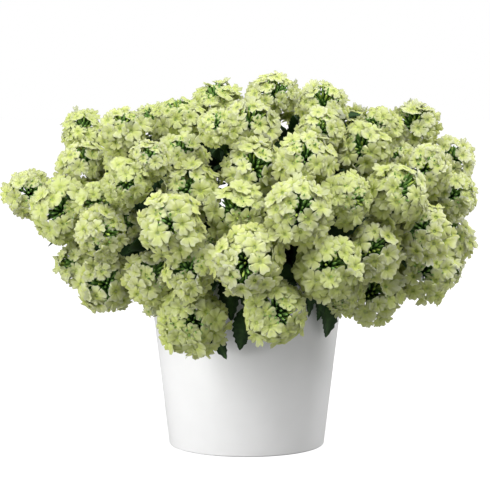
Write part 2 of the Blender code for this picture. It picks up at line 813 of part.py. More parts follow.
def make_leafy_stems(groups, parts, material, draw):
    """The whole green plant as one body: crown, branches, stalks and leaves."""
    low, high = SOIL_TOP - CROWN_DEPTH, SOIL_TOP + CROWN_TOP
    plant = rod("leafy_stems", CROWN_RADIUS, low, high, parts)
    plant.data.materials.clear()
    plant.data.materials.append(material)
    joined = new_collection("stems_to_join")
    crowd = Crowd([head for group in groups for head in group])
    branches = branch_ways([group[0] for group in groups])
    for number, points in enumerate(branches):
        if not crowd.is_clear(points[2:], BRANCH_RADIUS + STEM_MARGIN):
            print("branch", number, "crosses a head")
        make_tube(f"branch_{number}", points, BRANCH_RADIUS, joined, material)
    stalks = []
    for number, group in enumerate(groups):
        found = (stalk_way(number, head, branches, crowd) for head in group)
        points = next(filter(None, found), None)
        if points is None:
            print("no clear way to head", number + 1, "at", group[0].middle)
            continue
        stalks.append(points)
        make_tube(f"stalk_{number}", points, STALK_RADIUS, joined, material)
    leaves = hanging_leaves(stalks, crowd) + gap_leaves(stalks, crowd)
    leaves += rule_leaves(stalks, crowd, draw)
    for number, leaf in enumerate(leaves):
        if len(leaf.way) > 1:
            way = leaf.way + [leaf.point(0.06, 0.0, 0.0)]
            make_tube(f"leaf_stalk_{number}", way, LEAF_STALK_RADIUS, joined, material)
        make_leaf(f"leaf_{number}", leaf, joined, material)
    print(len(stalks), "stalks,", len(leaves), "leaves")
    apply_union(plant, joined)
    return plant


def main():
    clear_scene()
    draw = random.Random(SEED)
    parts = new_collection("verbena")
    cutters = new_collection("cutters")
    white = new_material("pot_white", (0.86, 0.86, 0.85), 0.35)
    earth = new_material("soil", (0.06, 0.04, 0.03), 0.95)
    green = new_material("leaf_green", (0.035, 0.085, 0.030), 0.55)
    lime = new_material("petal_lime", (0.68, 0.76, 0.36), 0.60)

    make_pot(parts, white)
    make_soil(parts, cutters, earth)
    groups = [[head] for head in heads_in_view()]
    fill_gaps(groups)
    in_view = [head for group in groups for head in group]
    behind = heads_behind(in_view, draw)
    print(len(in_view), "heads in view,", sum(map(len, behind)), "behind")
    for number, group in enumerate(groups + behind, 1):
        name = f"flower_head_{number:02d}"
        small = number > len(groups)
        made = make_head(name, group[0], small, draw.uniform(0, math.tau), parts, lime)
        if len(group) > 1:
            joined = new_collection("heads_to_join")
            for other in group[1:]:
                make_head(name + "_more", other, True, draw.uniform(0, math.tau), joined, lime)
            apply_union(made, joined)
    make_leafy_stems(groups + behind, parts, green, draw)
    for cutter in cutters.objects:
        cutter.hide_render = True
        cutter.display_type = "WIRE"


main()
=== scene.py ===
# %% [markdown]
# # A verbena in full bloom, in its pot
#
# The plant is a mound of about seventy flower heads over dark toothed leaves, in a plain white pot.
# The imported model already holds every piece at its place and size. This lesson reads those places
# from it and dresses them: florets with notched petals, green buds, veined leaves, crumbly compost
# and a satin pot. Almost every shape here is a function of two parameters, worked out as arrays.

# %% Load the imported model
import math

import bpy
import numpy as np
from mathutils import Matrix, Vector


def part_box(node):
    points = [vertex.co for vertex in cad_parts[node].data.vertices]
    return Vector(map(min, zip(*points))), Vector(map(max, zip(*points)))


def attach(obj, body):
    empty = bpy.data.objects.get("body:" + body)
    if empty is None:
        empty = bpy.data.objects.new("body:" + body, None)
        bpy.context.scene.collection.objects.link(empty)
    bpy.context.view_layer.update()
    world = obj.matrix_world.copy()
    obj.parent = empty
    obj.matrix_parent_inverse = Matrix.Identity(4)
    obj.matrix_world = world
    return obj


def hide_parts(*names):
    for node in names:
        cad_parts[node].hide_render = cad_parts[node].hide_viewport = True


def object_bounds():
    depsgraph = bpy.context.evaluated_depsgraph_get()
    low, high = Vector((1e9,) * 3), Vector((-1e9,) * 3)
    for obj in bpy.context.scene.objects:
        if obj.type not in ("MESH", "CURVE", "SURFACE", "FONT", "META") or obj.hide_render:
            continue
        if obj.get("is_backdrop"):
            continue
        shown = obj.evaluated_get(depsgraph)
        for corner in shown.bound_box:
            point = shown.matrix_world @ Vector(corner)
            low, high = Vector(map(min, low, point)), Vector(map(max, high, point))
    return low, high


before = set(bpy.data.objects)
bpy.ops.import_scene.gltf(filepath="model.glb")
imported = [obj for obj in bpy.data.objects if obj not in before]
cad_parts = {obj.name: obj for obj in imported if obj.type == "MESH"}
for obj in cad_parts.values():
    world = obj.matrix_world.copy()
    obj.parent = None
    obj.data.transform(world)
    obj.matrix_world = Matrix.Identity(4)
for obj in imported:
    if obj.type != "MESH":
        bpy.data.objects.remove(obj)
cad_low, cad_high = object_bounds()
draw = np.random.default_rng(11)
print("CAD box", [round(v, 3) for v in cad_low], [round(v, 3) for v in cad_high])

# %% [markdown]
# ## Camera
#
# The photograph was taken from the front, a little above the rim, with a long lens. These values
# bring the pot's rim and foot to the same places in a square frame.

# %% Camera
EYE = (-0.0015, -2.0, 0.378)
LOOKS_DOWN = math.radians(5.795)
LENS = 169.05

camera_data = bpy.data.cameras.new("camera")
camera_data.lens = LENS
camera_data.sensor_width = 36.0
camera = bpy.data.objects.new("camera", camera_data)
camera.location = EYE
camera.rotation_euler = (math.radians(90) - LOOKS_DOWN, 0.0, 0.0)
bpy.context.scene.collection.objects.link(camera)
bpy.context.scene.camera = camera
print("camera", EYE, "lens", LENS)

# %% [markdown]
# ## From arrays to meshes
#
# Blender can take whole arrays of points and faces at once, which is far quicker than adding them
# one by one. Each piece is one mesh at the origin, smooth shaded. It may carry attributes: numbers
# on its points that its material reads, such as how far along a petal a point is. A petal or a leaf
# is a thin closed blade, so the fold at its rim is kept sharp: shading that ran round it would draw a
# dark line along every edge.

# %% Make a piece from arrays
SHARP_FOLD = math.radians(115)


def make_piece(name, points, faces, materials, face_slots=None, attributes=None):
    """A mesh object from an (n, 3) array of points and a list of (m, 3) and (m, 4) face arrays."""
    mesh = bpy.data.meshes.new(name)
    sizes = np.concatenate([np.full(len(f), f.shape[1]) for f in faces])
    corners = np.concatenate([f.ravel() for f in faces]).astype(np.int32)
    mesh.vertices.add(len(points))
    mesh.vertices.foreach_set("co", np.asarray(points, np.float32).ravel())
    mesh.loops.add(len(corners))
    mesh.loops.foreach_set("vertex_index", corners)
    mesh.polygons.add(len(sizes))
    starts = np.concatenate([[0], np.cumsum(sizes)[:-1]]).astype(np.int32)
    mesh.polygons.foreach_set("loop_start", starts)
    mesh.polygons.foreach_set("use_smooth", np.ones(len(sizes), bool))
    for material in materials:
        mesh.materials.append(material)
    if face_slots is not None:
        mesh.polygons.foreach_set("material_index", face_slots.astype(np.int32))
    for key, values in (attributes or {}).items():
        layer = mesh.attributes.new(key, "FLOAT", "POINT")
        layer.data.foreach_set("value", np.asarray(values, np.float32).ravel())
    mesh.update(calc_edges=True)
    mesh.validate()
    mesh.set_sharp_from_angle(angle=SHARP_FOLD)
    piece = bpy.data.objects.new(name, mesh)
    bpy.context.scene.collection.objects.link(piece)
    return piece


def stand_for(piece, nodes):
    """The piece rides on the one body and stands in for its nodes, which are hidden."""
    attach(piece, "root")
    if nodes:
        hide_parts(*nodes)


def grid_faces(rows, columns, closed=False):
    """Quads of a grid of points counted row by row. A closed grid joins its last column to its first."""
    across = np.arange(columns if closed else columns - 1)
    row, column = np.meshgrid(np.arange(rows - 1), across, indexing="ij")
    after = (column + 1) % columns
    low, high = row * columns, (row + 1) * columns
    return np.stack([low + column, low + after, high + after, high + column], axis=-1).reshape(-1, 4)


def fan_faces(pole, ring, flip=False):
    """Triangles from one pole to a closed ring of points."""
    after = np.roll(ring, -1)
    fan = np.stack([np.full(len(ring), pole), ring, after], axis=-1)
    return fan[:, ::-1] if flip else fan


def closed_faces(rows, columns, flip=False):
    """A closed grid of rings with a pole after them for the first ring and one for the last."""
    ring, first_pole = np.arange(columns), rows * columns
    grid = grid_faces(rows, columns, closed=True)
    return [
        grid[:, ::-1] if flip else grid,
        fan_faces(first_pole, ring, flip=not flip),
        fan_faces(first_pole + 1, ring + (rows - 1) * columns, flip=flip),
    ]


def turned_points(radii, heights, steps, first_pole, last_pole):
    """Rings of a profile turned round Z, row by row, and then its two poles on the axis."""
    turn = np.arange(steps) * math.tau / steps
    radii, heights = np.asarray(radii)[:, None], np.asarray(heights)[:, None]
    rings = np.stack([radii * np.cos(turn), radii * np.sin(turn), heights + 0 * turn], axis=-1)
    return np.concatenate([rings.reshape(-1, 3), [[0, 0, first_pole]], [[0, 0, last_pole]]])


UP = np.array([0.0, 0.0, 1.0])


def triangle_count(faces):
    return sum(len(f) * (f.shape[1] - 2) for f in faces)


def unit(vectors):
    return vectors / np.linalg.norm(vectors, axis=-1, keepdims=True)


# %% [markdown]
# ## Shared shader groups
#
# Plants are never one flat colour. One group mottles a colour with soft cloudy spots at a given
# size, and another gives fine grain for the Bump node. Both read Object coordinates, so the pattern
# stays on the piece when the camera moves.

# %% Shader groups
def new_group(name, inputs, outputs):
    """An empty node group with named sockets. Inputs are (name, type, value), outputs (name, type)."""
    group = bpy.data.node_groups.new(name, "ShaderNodeTree")
    for label, kind, value in inputs:
        socket = group.interface.new_socket(label, in_out="INPUT", socket_type=kind)
        socket.default_value = value
    for label, kind in outputs:
        group.interface.new_socket(label, in_out="OUTPUT", socket_type=kind)
    return group, group.nodes.new("NodeGroupInput"), group.nodes.new("NodeGroupOutput")


def cloudy_noise(group, scale, detail):
    """Noise in Object coordinates inside a group, of the scale that the group is given."""
    place = group.nodes.new("ShaderNodeTexCoord")
    noise = group.nodes.new("ShaderNodeTexNoise")
    noise.inputs["Detail"].default_value = detail
    group.links.new(place.outputs["Object"], noise.inputs["Vector"])
    group.links.new(scale, noise.inputs["Scale"])
    return noise.outputs["Fac"]


def mottle_group():
    """Mixes a second colour over a first by cloudy noise of a given scale, as far as an amount says."""
    colour, number = "NodeSocketColor", "NodeSocketFloat"
    group, given, result = new_group(
        "mottle",
        [("Colour", colour, (1, 1, 1, 1)), ("Spots", colour, (1, 1, 1, 1)),
         ("Scale", number, 100.0), ("Amount", number, 0.5)],
        [("Colour", colour)],
    )
    spread = group.nodes.new("ShaderNodeMapRange")
    spread.inputs["From Min"].default_value = 0.35
    spread.inputs["From Max"].default_value = 0.65
    times = group.nodes.new("ShaderNodeMath")
    times.operation = "MULTIPLY"
    mix = group.nodes.new("ShaderNodeMix")
    mix.data_type = "RGBA"
    link = group.links.new
    link(cloudy_noise(group, given.outputs["Scale"], 4.0), spread.inputs["Value"])
    link(spread.outputs["Result"], times.inputs[0])
    link(given.outputs["Amount"], times.inputs[1])
    link(times.outputs["Value"], mix.inputs["Factor"])
    link(given.outputs["Colour"], mix.inputs["A"])
    link(given.outputs["Spots"], mix.inputs["B"])
    link(mix.outputs["Result"], result.inputs["Colour"])
    return group


def grain_group():
    """Fine grain from noise of a given scale, as a height."""
    number = "NodeSocketFloat"
    group, given, result = new_group("grain", [("Scale", number, 1000.0)], [("Height", number)])
    noise = cloudy_noise(group, given.outputs["Scale"], 3.0)
    group.links.new(noise, result.inputs["Height"])
    return group


MOTTLE = mottle_group()
GRAIN = grain_group()
print("shader groups", MOTTLE.name, "and", GRAIN.name)

# %% [markdown]
# ### Helpers for materials
#
# Every material starts from one Principled shader. These few helpers add an attribute, a ramp, a
# mix, a mottle or a bump of fine grain to it, so that each material below reads as a short list.

# %% Helpers for materials
def new_material(name, roughness, specular):
    material = bpy.data.materials.new(name)
    material.use_nodes = True
    shader = material.node_tree.nodes["Principled BSDF"]
    shader.inputs["Roughness"].default_value = roughness
    shader.inputs["Specular IOR Level"].default_value = specular
    return material, material.node_tree, shader


def read_attribute(tree, name):
    node = tree.nodes.new("ShaderNodeAttribute")
    node.attribute_name = name
    return node.outputs["Fac"]


def ramp(tree, source, stops):
    """A colour ramp driven by a value. Stops are (position, (r, g, b))."""
    node = tree.nodes.new("ShaderNodeValToRGB")
    marks = node.color_ramp.elements
    while len(marks) < len(stops):
        marks.new(0.5)
    for mark, (position, colour) in zip(marks, stops):
        mark.position = position
        mark.color = (*colour, 1.0)
    tree.links.new(source, node.inputs["Fac"])
    return node.outputs["Color"]


def mix_colours(tree, factor, first, second):
    """Goes from one colour to another by a socket. Either may be a socket or a plain (r, g, b)."""
    node = tree.nodes.new("ShaderNodeMix")
    node.data_type = "RGBA"
    tree.links.new(factor, node.inputs["Factor"])
    for label, colour in (("A", first), ("B", second)):
        if isinstance(colour, tuple):
            node.inputs[label].default_value = (*colour, 1.0)
        else:
            tree.links.new(colour, node.inputs[label])
    return node.outputs["Result"]


def grain_height(tree, scale):
    node = tree.nodes.new("ShaderNodeGroup")
    node.node_tree = GRAIN
    node.inputs["Scale"].default_value = scale
    return node.outputs["Height"]


def add_mottle(tree, shader, colour, spots, scale, amount):
    node = tree.nodes.new("ShaderNodeGroup")
    node.node_tree = MOTTLE
    tree.links.new(colour, node.inputs["Colour"])
    node.inputs["Spots"].default_value = (*spots, 1.0)
    node.inputs["Scale"].default_value = scale
    node.inputs["Amount"].default_value = amount
    tree.links.new(node.outputs["Colour"], shader.inputs["Base Color"])


def add_bump(tree, shader, scale, strength, distance):
    node = tree.nodes.new("ShaderNodeBump")
    node.inputs["Strength"].default_value = strength
    node.inputs["Distance"].default_value = distance
    tree.links.new(grain_height(tree, scale), node.inputs["Height"])
    tree.links.new(node.outputs["Normal"], shader.inputs["Normal"])


# %% [markdown]
# ## Petal, leaf and stem materials
#
# A petal is pale lime, creamier towards its edge, with a yellow-green throat whose darker middle is
# painted shade, for the shade inside the tube's mouth. A floret low on its head is painted a more
# saturated yellow, as painted shade, and each floret also gets a random share of that colour. Some heads
# are greener than others. The material reads four attributes for this: how far out on the floret a
# point is, where its painted fold shade lies, each floret's own tint, and how low the floret sits,
# with its random share. Real petals are so thin that light passes through them, so a good part of the
# light scatters inside the surface.

# %% Petal material
def petal_material():
    material, tree, shader = new_material("petal_lime", 0.62, 0.25)
    shader.inputs["Subsurface Weight"].default_value = 0.5
    shader.inputs["Subsurface Radius"].default_value = (1.0, 1.0, 0.8)
    shader.inputs["Subsurface Scale"].default_value = 0.004
    out = read_attribute(tree, "out")
    # The first stops of both ramps paint the throat's middle dark: painted shade for the tube's mouth
    unshaded_petal = ramp(tree, out, [
        (0.00, (0.05, 0.09, 0.008)), (0.15, (0.12, 0.17, 0.010)), (0.26, (0.40, 0.46, 0.09)),
        (0.45, (0.45, 0.49, 0.17)), (0.80, (0.50, 0.525, 0.29)), (1.00, (0.54, 0.555, 0.38)),
    ])
    # Painted shade: florets low on a head, as the attribute low says, turn to this more saturated
    # yellow-green, as if in shade
    painted_shade = ramp(tree, out, [
        (0.00, (0.05, 0.08, 0.006)), (0.15, (0.12, 0.17, 0.010)), (0.28, (0.37, 0.43, 0.06)),
        (1.00, (0.54, 0.57, 0.16)),
    ])
    colour = mix_colours(tree, read_attribute(tree, "low"), unshaded_petal, painted_shade)
    tinted = mix_colours(tree, read_attribute(tree, "tint"), colour, (0.40, 0.475, 0.10))
    # Painted shade along the folds between petals and down each notch
    fold_shade = mix_colours(tree, read_attribute(tree, "vein"), tinted, (0.33, 0.40, 0.08))
    add_mottle(tree, shader, fold_shade, (0.68, 0.69, 0.48), 260.0, 0.25)
    add_bump(tree, shader, 900.0, 0.25, 0.0004)
    return material


PETAL = petal_material()
print("petal material", len(PETAL.node_tree.nodes), "nodes")

# %% [markdown]
# ### Greens
#
# A leaf is dark green and rather matt, paler along its midrib and veins. A stem is a fresher green.
# The calyces are the brightest, and the buds in them yellow-green.

# %% Green materials
def green_material(name, dark, light, roughness, scale):
    """A green from two shades: the attribute named light says how much of the lighter one shows."""
    material, tree, shader = new_material(name, roughness, 0.2)
    colour = mix_colours(tree, read_attribute(tree, "light"), dark, light)
    add_mottle(tree, shader, colour, dark, scale, 0.5)
    add_bump(tree, shader, scale * 6.0, 0.3, 0.0004)
    return material


LEAF = green_material("leaf_green", (0.008, 0.026, 0.008), (0.055, 0.120, 0.032), 0.60, 160.0)
STEM = green_material("stem_green", (0.020, 0.050, 0.014), (0.085, 0.150, 0.040), 0.55, 300.0)
CALYX = green_material("calyx_green", (0.090, 0.26, 0.075), (0.48, 0.58, 0.10), 0.55, 500.0)
print("leaf, stem and calyx materials")

# %% [markdown]
# ## Where the heads are
#
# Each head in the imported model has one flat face, the six-sided underside where its stalk comes in.
# It says all that is needed: its normal is the way that the head looks away from, its sides are
# equally far from the head's axis, and its size is a fixed share of the head's radius. Two heads
# that grew together have cut a little off each other's underside, but the sides that are left still
# give the middle, by least squares.

# %% Flat faces of a node
def triangles_of(node):
    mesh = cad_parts[node].data
    mesh.calc_loop_triangles()
    points = np.empty(len(mesh.vertices) * 3, np.float32)
    mesh.vertices.foreach_get("co", points)
    corners = np.empty(len(mesh.loop_triangles) * 3, np.int32)
    mesh.loop_triangles.foreach_get("vertices", corners)
    return points.reshape(-1, 3)[corners.reshape(-1, 3)].astype(float)


def flat_faces(triangles, least_area):
    """Sets of triangles that share one plane, with its normal, where they cover the least area."""
    cross = np.cross(triangles[:, 1] - triangles[:, 0], triangles[:, 2] - triangles[:, 0])
    area = np.linalg.norm(cross, axis=1) / 2
    normal = cross / np.maximum(2 * area, 1e-12)[:, None]
    offset = (normal * triangles[:, 0]).sum(axis=1)
    left = area > 1e-9
    found = []
    while left.any():
        k = np.argmax(np.where(left, area, 0.0))
        same = left & (normal @ normal[k] > 0.9999) & (abs(offset - offset[k]) < 5e-5)
        if area[same].sum() > least_area:
            found.append((triangles[same], normal[k]))
        left &= ~same
    return found


def rim_of(flat):
    """The edges that only one triangle of a flat face has, as two arrays of end points."""
    _, ids = np.unique(np.round(flat.reshape(-1, 3), 5), axis=0, return_inverse=True)
    ids = ids.reshape(-1, 3)
    points = np.zeros((ids.max() + 1, 3))
    points[ids.ravel()] = flat.reshape(-1, 3)
    edges = np.sort(np.concatenate([ids[:, [0, 1]], ids[:, [1, 2]], ids[:, [2, 0]]]), axis=1)
    unique, times = np.unique(edges, axis=0, return_counts=True)
    rim = unique[times == 1]
    return points[rim[:, 0]], points[rim[:, 1]]


# %% [markdown]
# ### From a flat face to a head
#
# The lengths below are shares of a head's radius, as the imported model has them: how far its underside
# lies below its middle, how far that six-sided face's corners are from the axis, and how high its top
# is.

# %% Read the heads
UNDERSIDE_DEPTH = 0.522
UNDERSIDE_RADIUS = 0.7424
HEAD_FLATNESS = 0.90
LEAST_UNDERSIDE = 240e-6
SHORTEST_SIDE = 3e-4
SIXTH = math.pi / 3


def head_on(flat, normal):
    """The head above a hexagonal face. Sides that turn by sixths belong to it; others are cuts."""
    facing = -normal
    right = unit(np.cross(facing, [0.0, 0.0, 1.0] if abs(facing[2]) < 0.9 else [1.0, 0.0, 0.0]))
    up = np.cross(facing, right)
    origin = flat.reshape(-1, 3).mean(axis=0)
    start, end = ((p - origin) @ np.stack([right, up], axis=1) for p in rim_of(flat))
    length = np.linalg.norm(end - start, axis=1)
    start, end, length = (a[length > SHORTEST_SIDE] for a in (start, end, length))
    inward = np.stack([start[:, 1] - end[:, 1], end[:, 0] - start[:, 0]], axis=1) / length[:, None]
    inward *= np.sign(-(inward * (start + end)).sum(axis=1))[:, None]
    turn = np.arctan2(inward[:, 1], inward[:, 0]) % SIXTH
    apart = abs(turn[:, None] - turn)
    alike = np.minimum(apart, SIXTH - apart) < math.radians(1.0)
    own = alike[np.argmax(alike @ length)]
    sums = np.column_stack([inward, -np.ones(len(inward))])[own]
    target = (inward * start).sum(axis=1)[own]
    weight = length[own]
    (x, y, apothem), *_ = np.linalg.lstsq(sums * weight[:, None], target * weight, rcond=None)
    radius = apothem / math.cos(math.pi / 6) / UNDERSIDE_RADIUS
    middle = origin + right * x + up * y + facing * UNDERSIDE_DEPTH * radius
    return middle, facing, radius


head_nodes = sorted(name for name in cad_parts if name.startswith("flower_head"))
heads = {
    node: [head_on(*flat) for flat in flat_faces(triangles_of(node), LEAST_UNDERSIDE)]
    for node in head_nodes
}
MIDDLES, FACINGS, RADII = (
    np.array(column) for column in zip(*(head for group in heads.values() for head in group))
)
print(len(MIDDLES), "heads, radii", RADII.min().round(4), "to", RADII.max().round(4))


def nearness(points, margin=0.0, skip=None):
    """How near points are to any head: 0 at its middle, 1 at its flattened ball's surface."""
    away = points[..., None, :] - MIDDLES
    along = (away * FACINGS).sum(axis=-1)
    across = np.maximum((away * away).sum(axis=-1) - along**2, 0.0)
    height = RADII * np.where(along > 0, HEAD_FLATNESS, UNDERSIDE_DEPTH) + margin
    share = np.sqrt(across / (RADII + margin) ** 2 + (along / height) ** 2)
    if skip is not None:
        share[..., skip] = np.inf
    return share.min(axis=-1)


# %% [markdown]
# ## Florets
#
# A verbena floret is a flat five-petalled star on a thin tube. Every petal is notched at its tip,
# so it has two lobes, and no two petals lie quite alike. The petals are one polar grid: rings go
# from the throat to the outline, and six points round each petal give its sides, lobes and notch.
# A last pole below closes it, so the petals are thin at their edge and thicker at the middle. The
# tube with its green calyx is a second small closed shape. A whole head is worked out at once, with
# one axis of the arrays for the florets.

# %% Floret shapes
PETALS = 5
PETAL_ANGLES = np.radians([-36.0, -31.0, -16.0, 0.0, 16.0, 31.0])
PETAL_REACH = np.array([0.56, 0.94, 1.05, 0.93, 1.05, 0.94])
PETAL_CURL = np.array([-0.16, 0.03, 0.03, -0.05, 0.03, 0.03])
# Painted shade along the folds: most at the fold between petals and down each petal's notch
PETAL_FOLD_SHADE = np.array([0.5, 0.0, 0.05, 0.45, 0.05, 0.0])
PETAL_TILT, PETAL_LENGTHS, PETAL_WAVE = 0.17, 0.07, 0.05
CUP, CUP_SPREAD = 0.06, 0.12
ARCH, THROAT, BELLY = 0.10, -0.10, -0.16
RINGS = np.array([0.13, 0.58, 1.0])
TUBE_SIDES = 5
TUBE_RADII = np.array([0.12, 0.10, 0.17, 0.10])
TUBE_DEPTHS = np.array([0.04, 0.62, 0.86, 1.75])
TUBE_LIGHT = np.array([0.95, 0.75, 0.15, 0.0])


def floret_shapes(count):
    """Petal discs with their faces up Z and radius about 1, as (count, points, 3), and their faces.

    The outline is a reach for each angle. A point's height is a shallow arch that grows and falls
    with the distance from the throat, plus the whole floret's cup and the petal's own tilt, which
    grow with the square of that distance, plus a curl at the petal's sides."""
    angles = (np.arange(PETALS)[:, None] * math.tau / PETALS + PETAL_ANGLES).ravel()
    reach, curl, vein = (np.tile(a, PETALS) for a in (PETAL_REACH, PETAL_CURL, PETAL_FOLD_SHADE))
    petal = np.repeat(np.arange(PETALS), len(PETAL_ANGLES))
    tilt = draw.normal(0.0, PETAL_TILT, (count, PETALS))[:, petal]
    length = draw.normal(1.0, PETAL_LENGTHS, (count, PETALS))[:, petal]
    wave = draw.normal(0.0, PETAL_WAVE, (count, len(angles)))
    cup = draw.normal(CUP, CUP_SPREAD, (count, 1))
    share = RINGS[None, :, None]
    ring = share * (1.0 + (reach * length)[:, None, :] * share**1.5 - share**1.5)
    height = ARCH * np.sin(math.pi * np.minimum(ring, 1.0)) + cup[:, None] * ring**2
    height = height + (tilt + wave)[:, None, :] * ring**2 + curl * share**3
    points = np.stack([ring * np.cos(angles), ring * np.sin(angles), height], axis=-1)
    poles = np.broadcast_to([THROAT * UP, BELLY * UP], (count, 2, 3))
    points = np.concatenate([points.reshape(count, -1, 3), poles], axis=1)
    out = np.concatenate([np.repeat(RINGS, len(angles)), [0.0, 0.6]])
    # Painted fold shade on the petals, strongest part way out from the throat
    fold_shade = np.concatenate([(RINGS[:, None] * vein * (1.4 - RINGS[:, None])).ravel(), [0.0, 0.3]])
    return points, closed_faces(len(RINGS), len(angles), flip=True), out, fold_shade


def tube_shapes(count):
    """The corolla tube and calyx below each disc, a turned profile with a pole at each end."""
    points = turned_points(TUBE_RADII, -TUBE_DEPTHS, TUBE_SIDES, -0.02, -1.82)
    faces = closed_faces(len(TUBE_RADII), TUBE_SIDES, flip=True)
    light = np.concatenate([np.repeat(TUBE_LIGHT, TUBE_SIDES), [1.0, 0.0]])
    return np.repeat(points[None], count, axis=0), faces, light


def repeated(faces, points_each, count):
    """The faces of one shape, repeated for as many shapes."""
    starts = np.arange(count)[:, None, None] * points_each
    return [(f[None] + starts).reshape(-1, f.shape[1]) for f in faces]


# %% [markdown]
# ### How florets sit on a head
#
# They open from the rim of the head inwards, so the middle is still green buds. A spiral of golden
# turns spreads them evenly from that green eye down past the widest part. Each looks away from a
# point well below the head's middle, because their tubes all come from the tip of the stalk, with
# some wobble, and neighbours stand at slightly different heights so that their petals overlap.

# %% Florets on a head
GOLDEN_TURN = math.pi * (3.0 - math.sqrt(5.0))
EYE_ANGLE = math.radians(23)
SKIRT_ANGLE = math.radians(114)
FLORET_SIZE = 0.0091
LARGEST_SHARE = 0.36
FLORET_CROWDING = 1.40
SIZE_SPREAD, LOOK_SPREAD = 0.07, 0.19
DOWN_SPREAD, TURN_SPREAD = 0.05, 0.08
TUBES_START = 0.42
REACH_FROM, REACH_TO = 0.80, 0.96
PROUD_SHARE, PROUD_BY = 0.12, 1.03


def basis_of(facing):
    """Three axes for each facing, with the facing last, as rows."""
    facing = unit(facing)
    helper = np.where(abs(facing[..., 2:]) < 0.9, [0.0, 0.0, 1.0], [1.0, 0.0, 0.0])
    side = unit(np.cross(helper, facing))
    return np.stack([side, np.cross(facing, side), facing], axis=-2)


def ways_at(down, turn):
    """Unit vectors from their angles down from Z and round it."""
    return np.stack([np.sin(down) * np.cos(turn), np.sin(down) * np.sin(turn), np.cos(down)], axis=-1)


def florets_on(middle, facing, radius):
    """Where florets are on a head, the way that each looks, its size and how low it sits."""
    size = min(FLORET_SIZE, radius * LARGEST_SHARE)
    top, bottom = math.cos(EYE_ANGLE), math.cos(SKIRT_ANGLE)
    count = int(FLORET_CROWDING * 2.0 * radius**2 * (top - bottom) / size**2)
    share = (np.arange(count) + 0.5) / count
    down = np.arccos(top + (bottom - top) * share) + draw.normal(0, DOWN_SPREAD, count)
    turn = np.arange(count) * GOLDEN_TURN + draw.uniform(0, math.tau)
    turn = turn + draw.normal(0, TURN_SPREAD, count)
    reach = radius * draw.uniform(REACH_FROM, REACH_TO, count)[:, None]
    reach *= np.where(draw.uniform(0, 1, (count, 1)) < PROUD_SHARE, PROUD_BY, 1.0)
    place = ways_at(down, turn) * reach * np.array([1.0, 1.0, HEAD_FLATNESS])
    from_start = place + TUBES_START * radius * UP
    looks = unit(from_start + draw.normal(0, LOOK_SPREAD, (count, 3)) * radius)
    axes = basis_of(facing)
    sizes = size * draw.normal(1.0, SIZE_SPREAD, count)
    return middle + place @ axes, looks @ axes, sizes, down


def place_shapes(shapes, places, looks, sizes, twist):
    """Shapes made looking up Z, turned to look their own way, scaled and moved to their places."""
    cos, sin = np.cos(twist)[:, None], np.sin(twist)[:, None]
    x = shapes[..., 0] * cos - shapes[..., 1] * sin
    y = shapes[..., 0] * sin + shapes[..., 1] * cos
    turned = np.stack([x, y, shapes[..., 2]], axis=-1) * sizes[:, None, None]
    return np.einsum("nij,njk->nik", turned, basis_of(looks)) + places[:, None, :]


# %% [markdown]
# ### Buds in the eye
#
# Inside the ring of florets stand slim green calyces, like a small star, and here and there one
# shows the yellow-green tip of a bud about to open. Each is a spindle: a turned profile of four
# sides. They all start from the tip of the stalk.

# %% Buds
BUD_RADII = np.array([0.35, 0.80, 0.85, 0.40])
BUD_SHARES = np.array([0.10, 0.55, 0.82, 0.95])
BUD_SIDES = 4
BUD_WIDTH = 0.0014
BUD_ROOT = 0.10
BUD_LENGTH, SHORTER_OUTSIDE = 1.08, 0.12
BUD_SPREAD = math.radians(42)
YELLOW_SHARE = 0.22
BUDS_LEAST = 18
BUDS_PER_METRE = 900


def bud_shapes(count):
    """Spindles one unit long with their tip up Z. The radii are in bud widths."""
    points = turned_points(BUD_RADII, BUD_SHARES, BUD_SIDES, 0.0, 1.0)
    share = np.concatenate([np.repeat(BUD_SHARES, BUD_SIDES), [0.0, 1.0]])
    return np.repeat(points[None], count, axis=0), closed_faces(len(BUD_RADII), BUD_SIDES), share


def buds_on(middle, facing, radius):
    """The roots, ways and lengths of the buds in one head's eye, and how yellow each one's tip is."""
    count = int(BUDS_LEAST + BUDS_PER_METRE * radius)
    share = np.sqrt((np.arange(count) + 0.5) / count)
    way = ways_at(share * BUD_SPREAD, np.arange(count) * GOLDEN_TURN) @ basis_of(facing)
    root = middle - facing * radius * BUD_ROOT
    length = radius * (BUD_LENGTH - SHORTER_OUTSIDE * share) * draw.uniform(0.84, 1.05, count)
    opening = draw.uniform(0, 1, count) < YELLOW_SHARE
    yellow = np.where(opening, draw.uniform(0.6, 1.0, count), 0.10)
    return np.repeat(root[None], count, axis=0), way, length, yellow


# %% [markdown]
# ### A whole head
#
# The lower half of a head is given painted shade, more the lower a floret sits, and every floret also
# gets a random share of it. Each head has a tint of its own and each floret a little more. All florets,
# tubes and buds of a head become one piece, with one material for the petals and another for the
# green parts.

# %% Build the heads
# Painted shade on florets low on a head: the angle down where it starts, the angle over which it grows,
# its most, and the random share that every floret gets
LOW_FROM, LOW_OVER = math.radians(50), math.radians(50)
LOW_MOST, LOW_SPREAD = 0.85, 0.25
HEAD_TINTS, FLORET_TINTS = 0.45, 0.25
TIP_FROM, PALER_OUTWARDS = 0.7, 0.25


def shapes_to_arrays(parts):
    """Joins (points, faces, slot, attributes) parts into the arrays of one piece."""
    points, faces, slots, start = [], [], [], 0
    names = sorted({key for part in parts for key in part[3]})
    values = {key: [] for key in names}
    for shape, shape_faces, slot, attributes in parts:
        count, each = shape.shape[:2]
        points.append(shape.reshape(-1, 3))
        for f in repeated(shape_faces, each, count):
            faces.append(f + start)
            slots.append(np.full(len(f), slot))
        for key in names:
            given = attributes.get(key, 0.0)
            values[key].append(np.broadcast_to(given, (count, each)).ravel())
        start += count * each
    joined = {key: np.concatenate(value) for key, value in values.items()}
    return np.concatenate(points), faces, np.concatenate(slots), joined


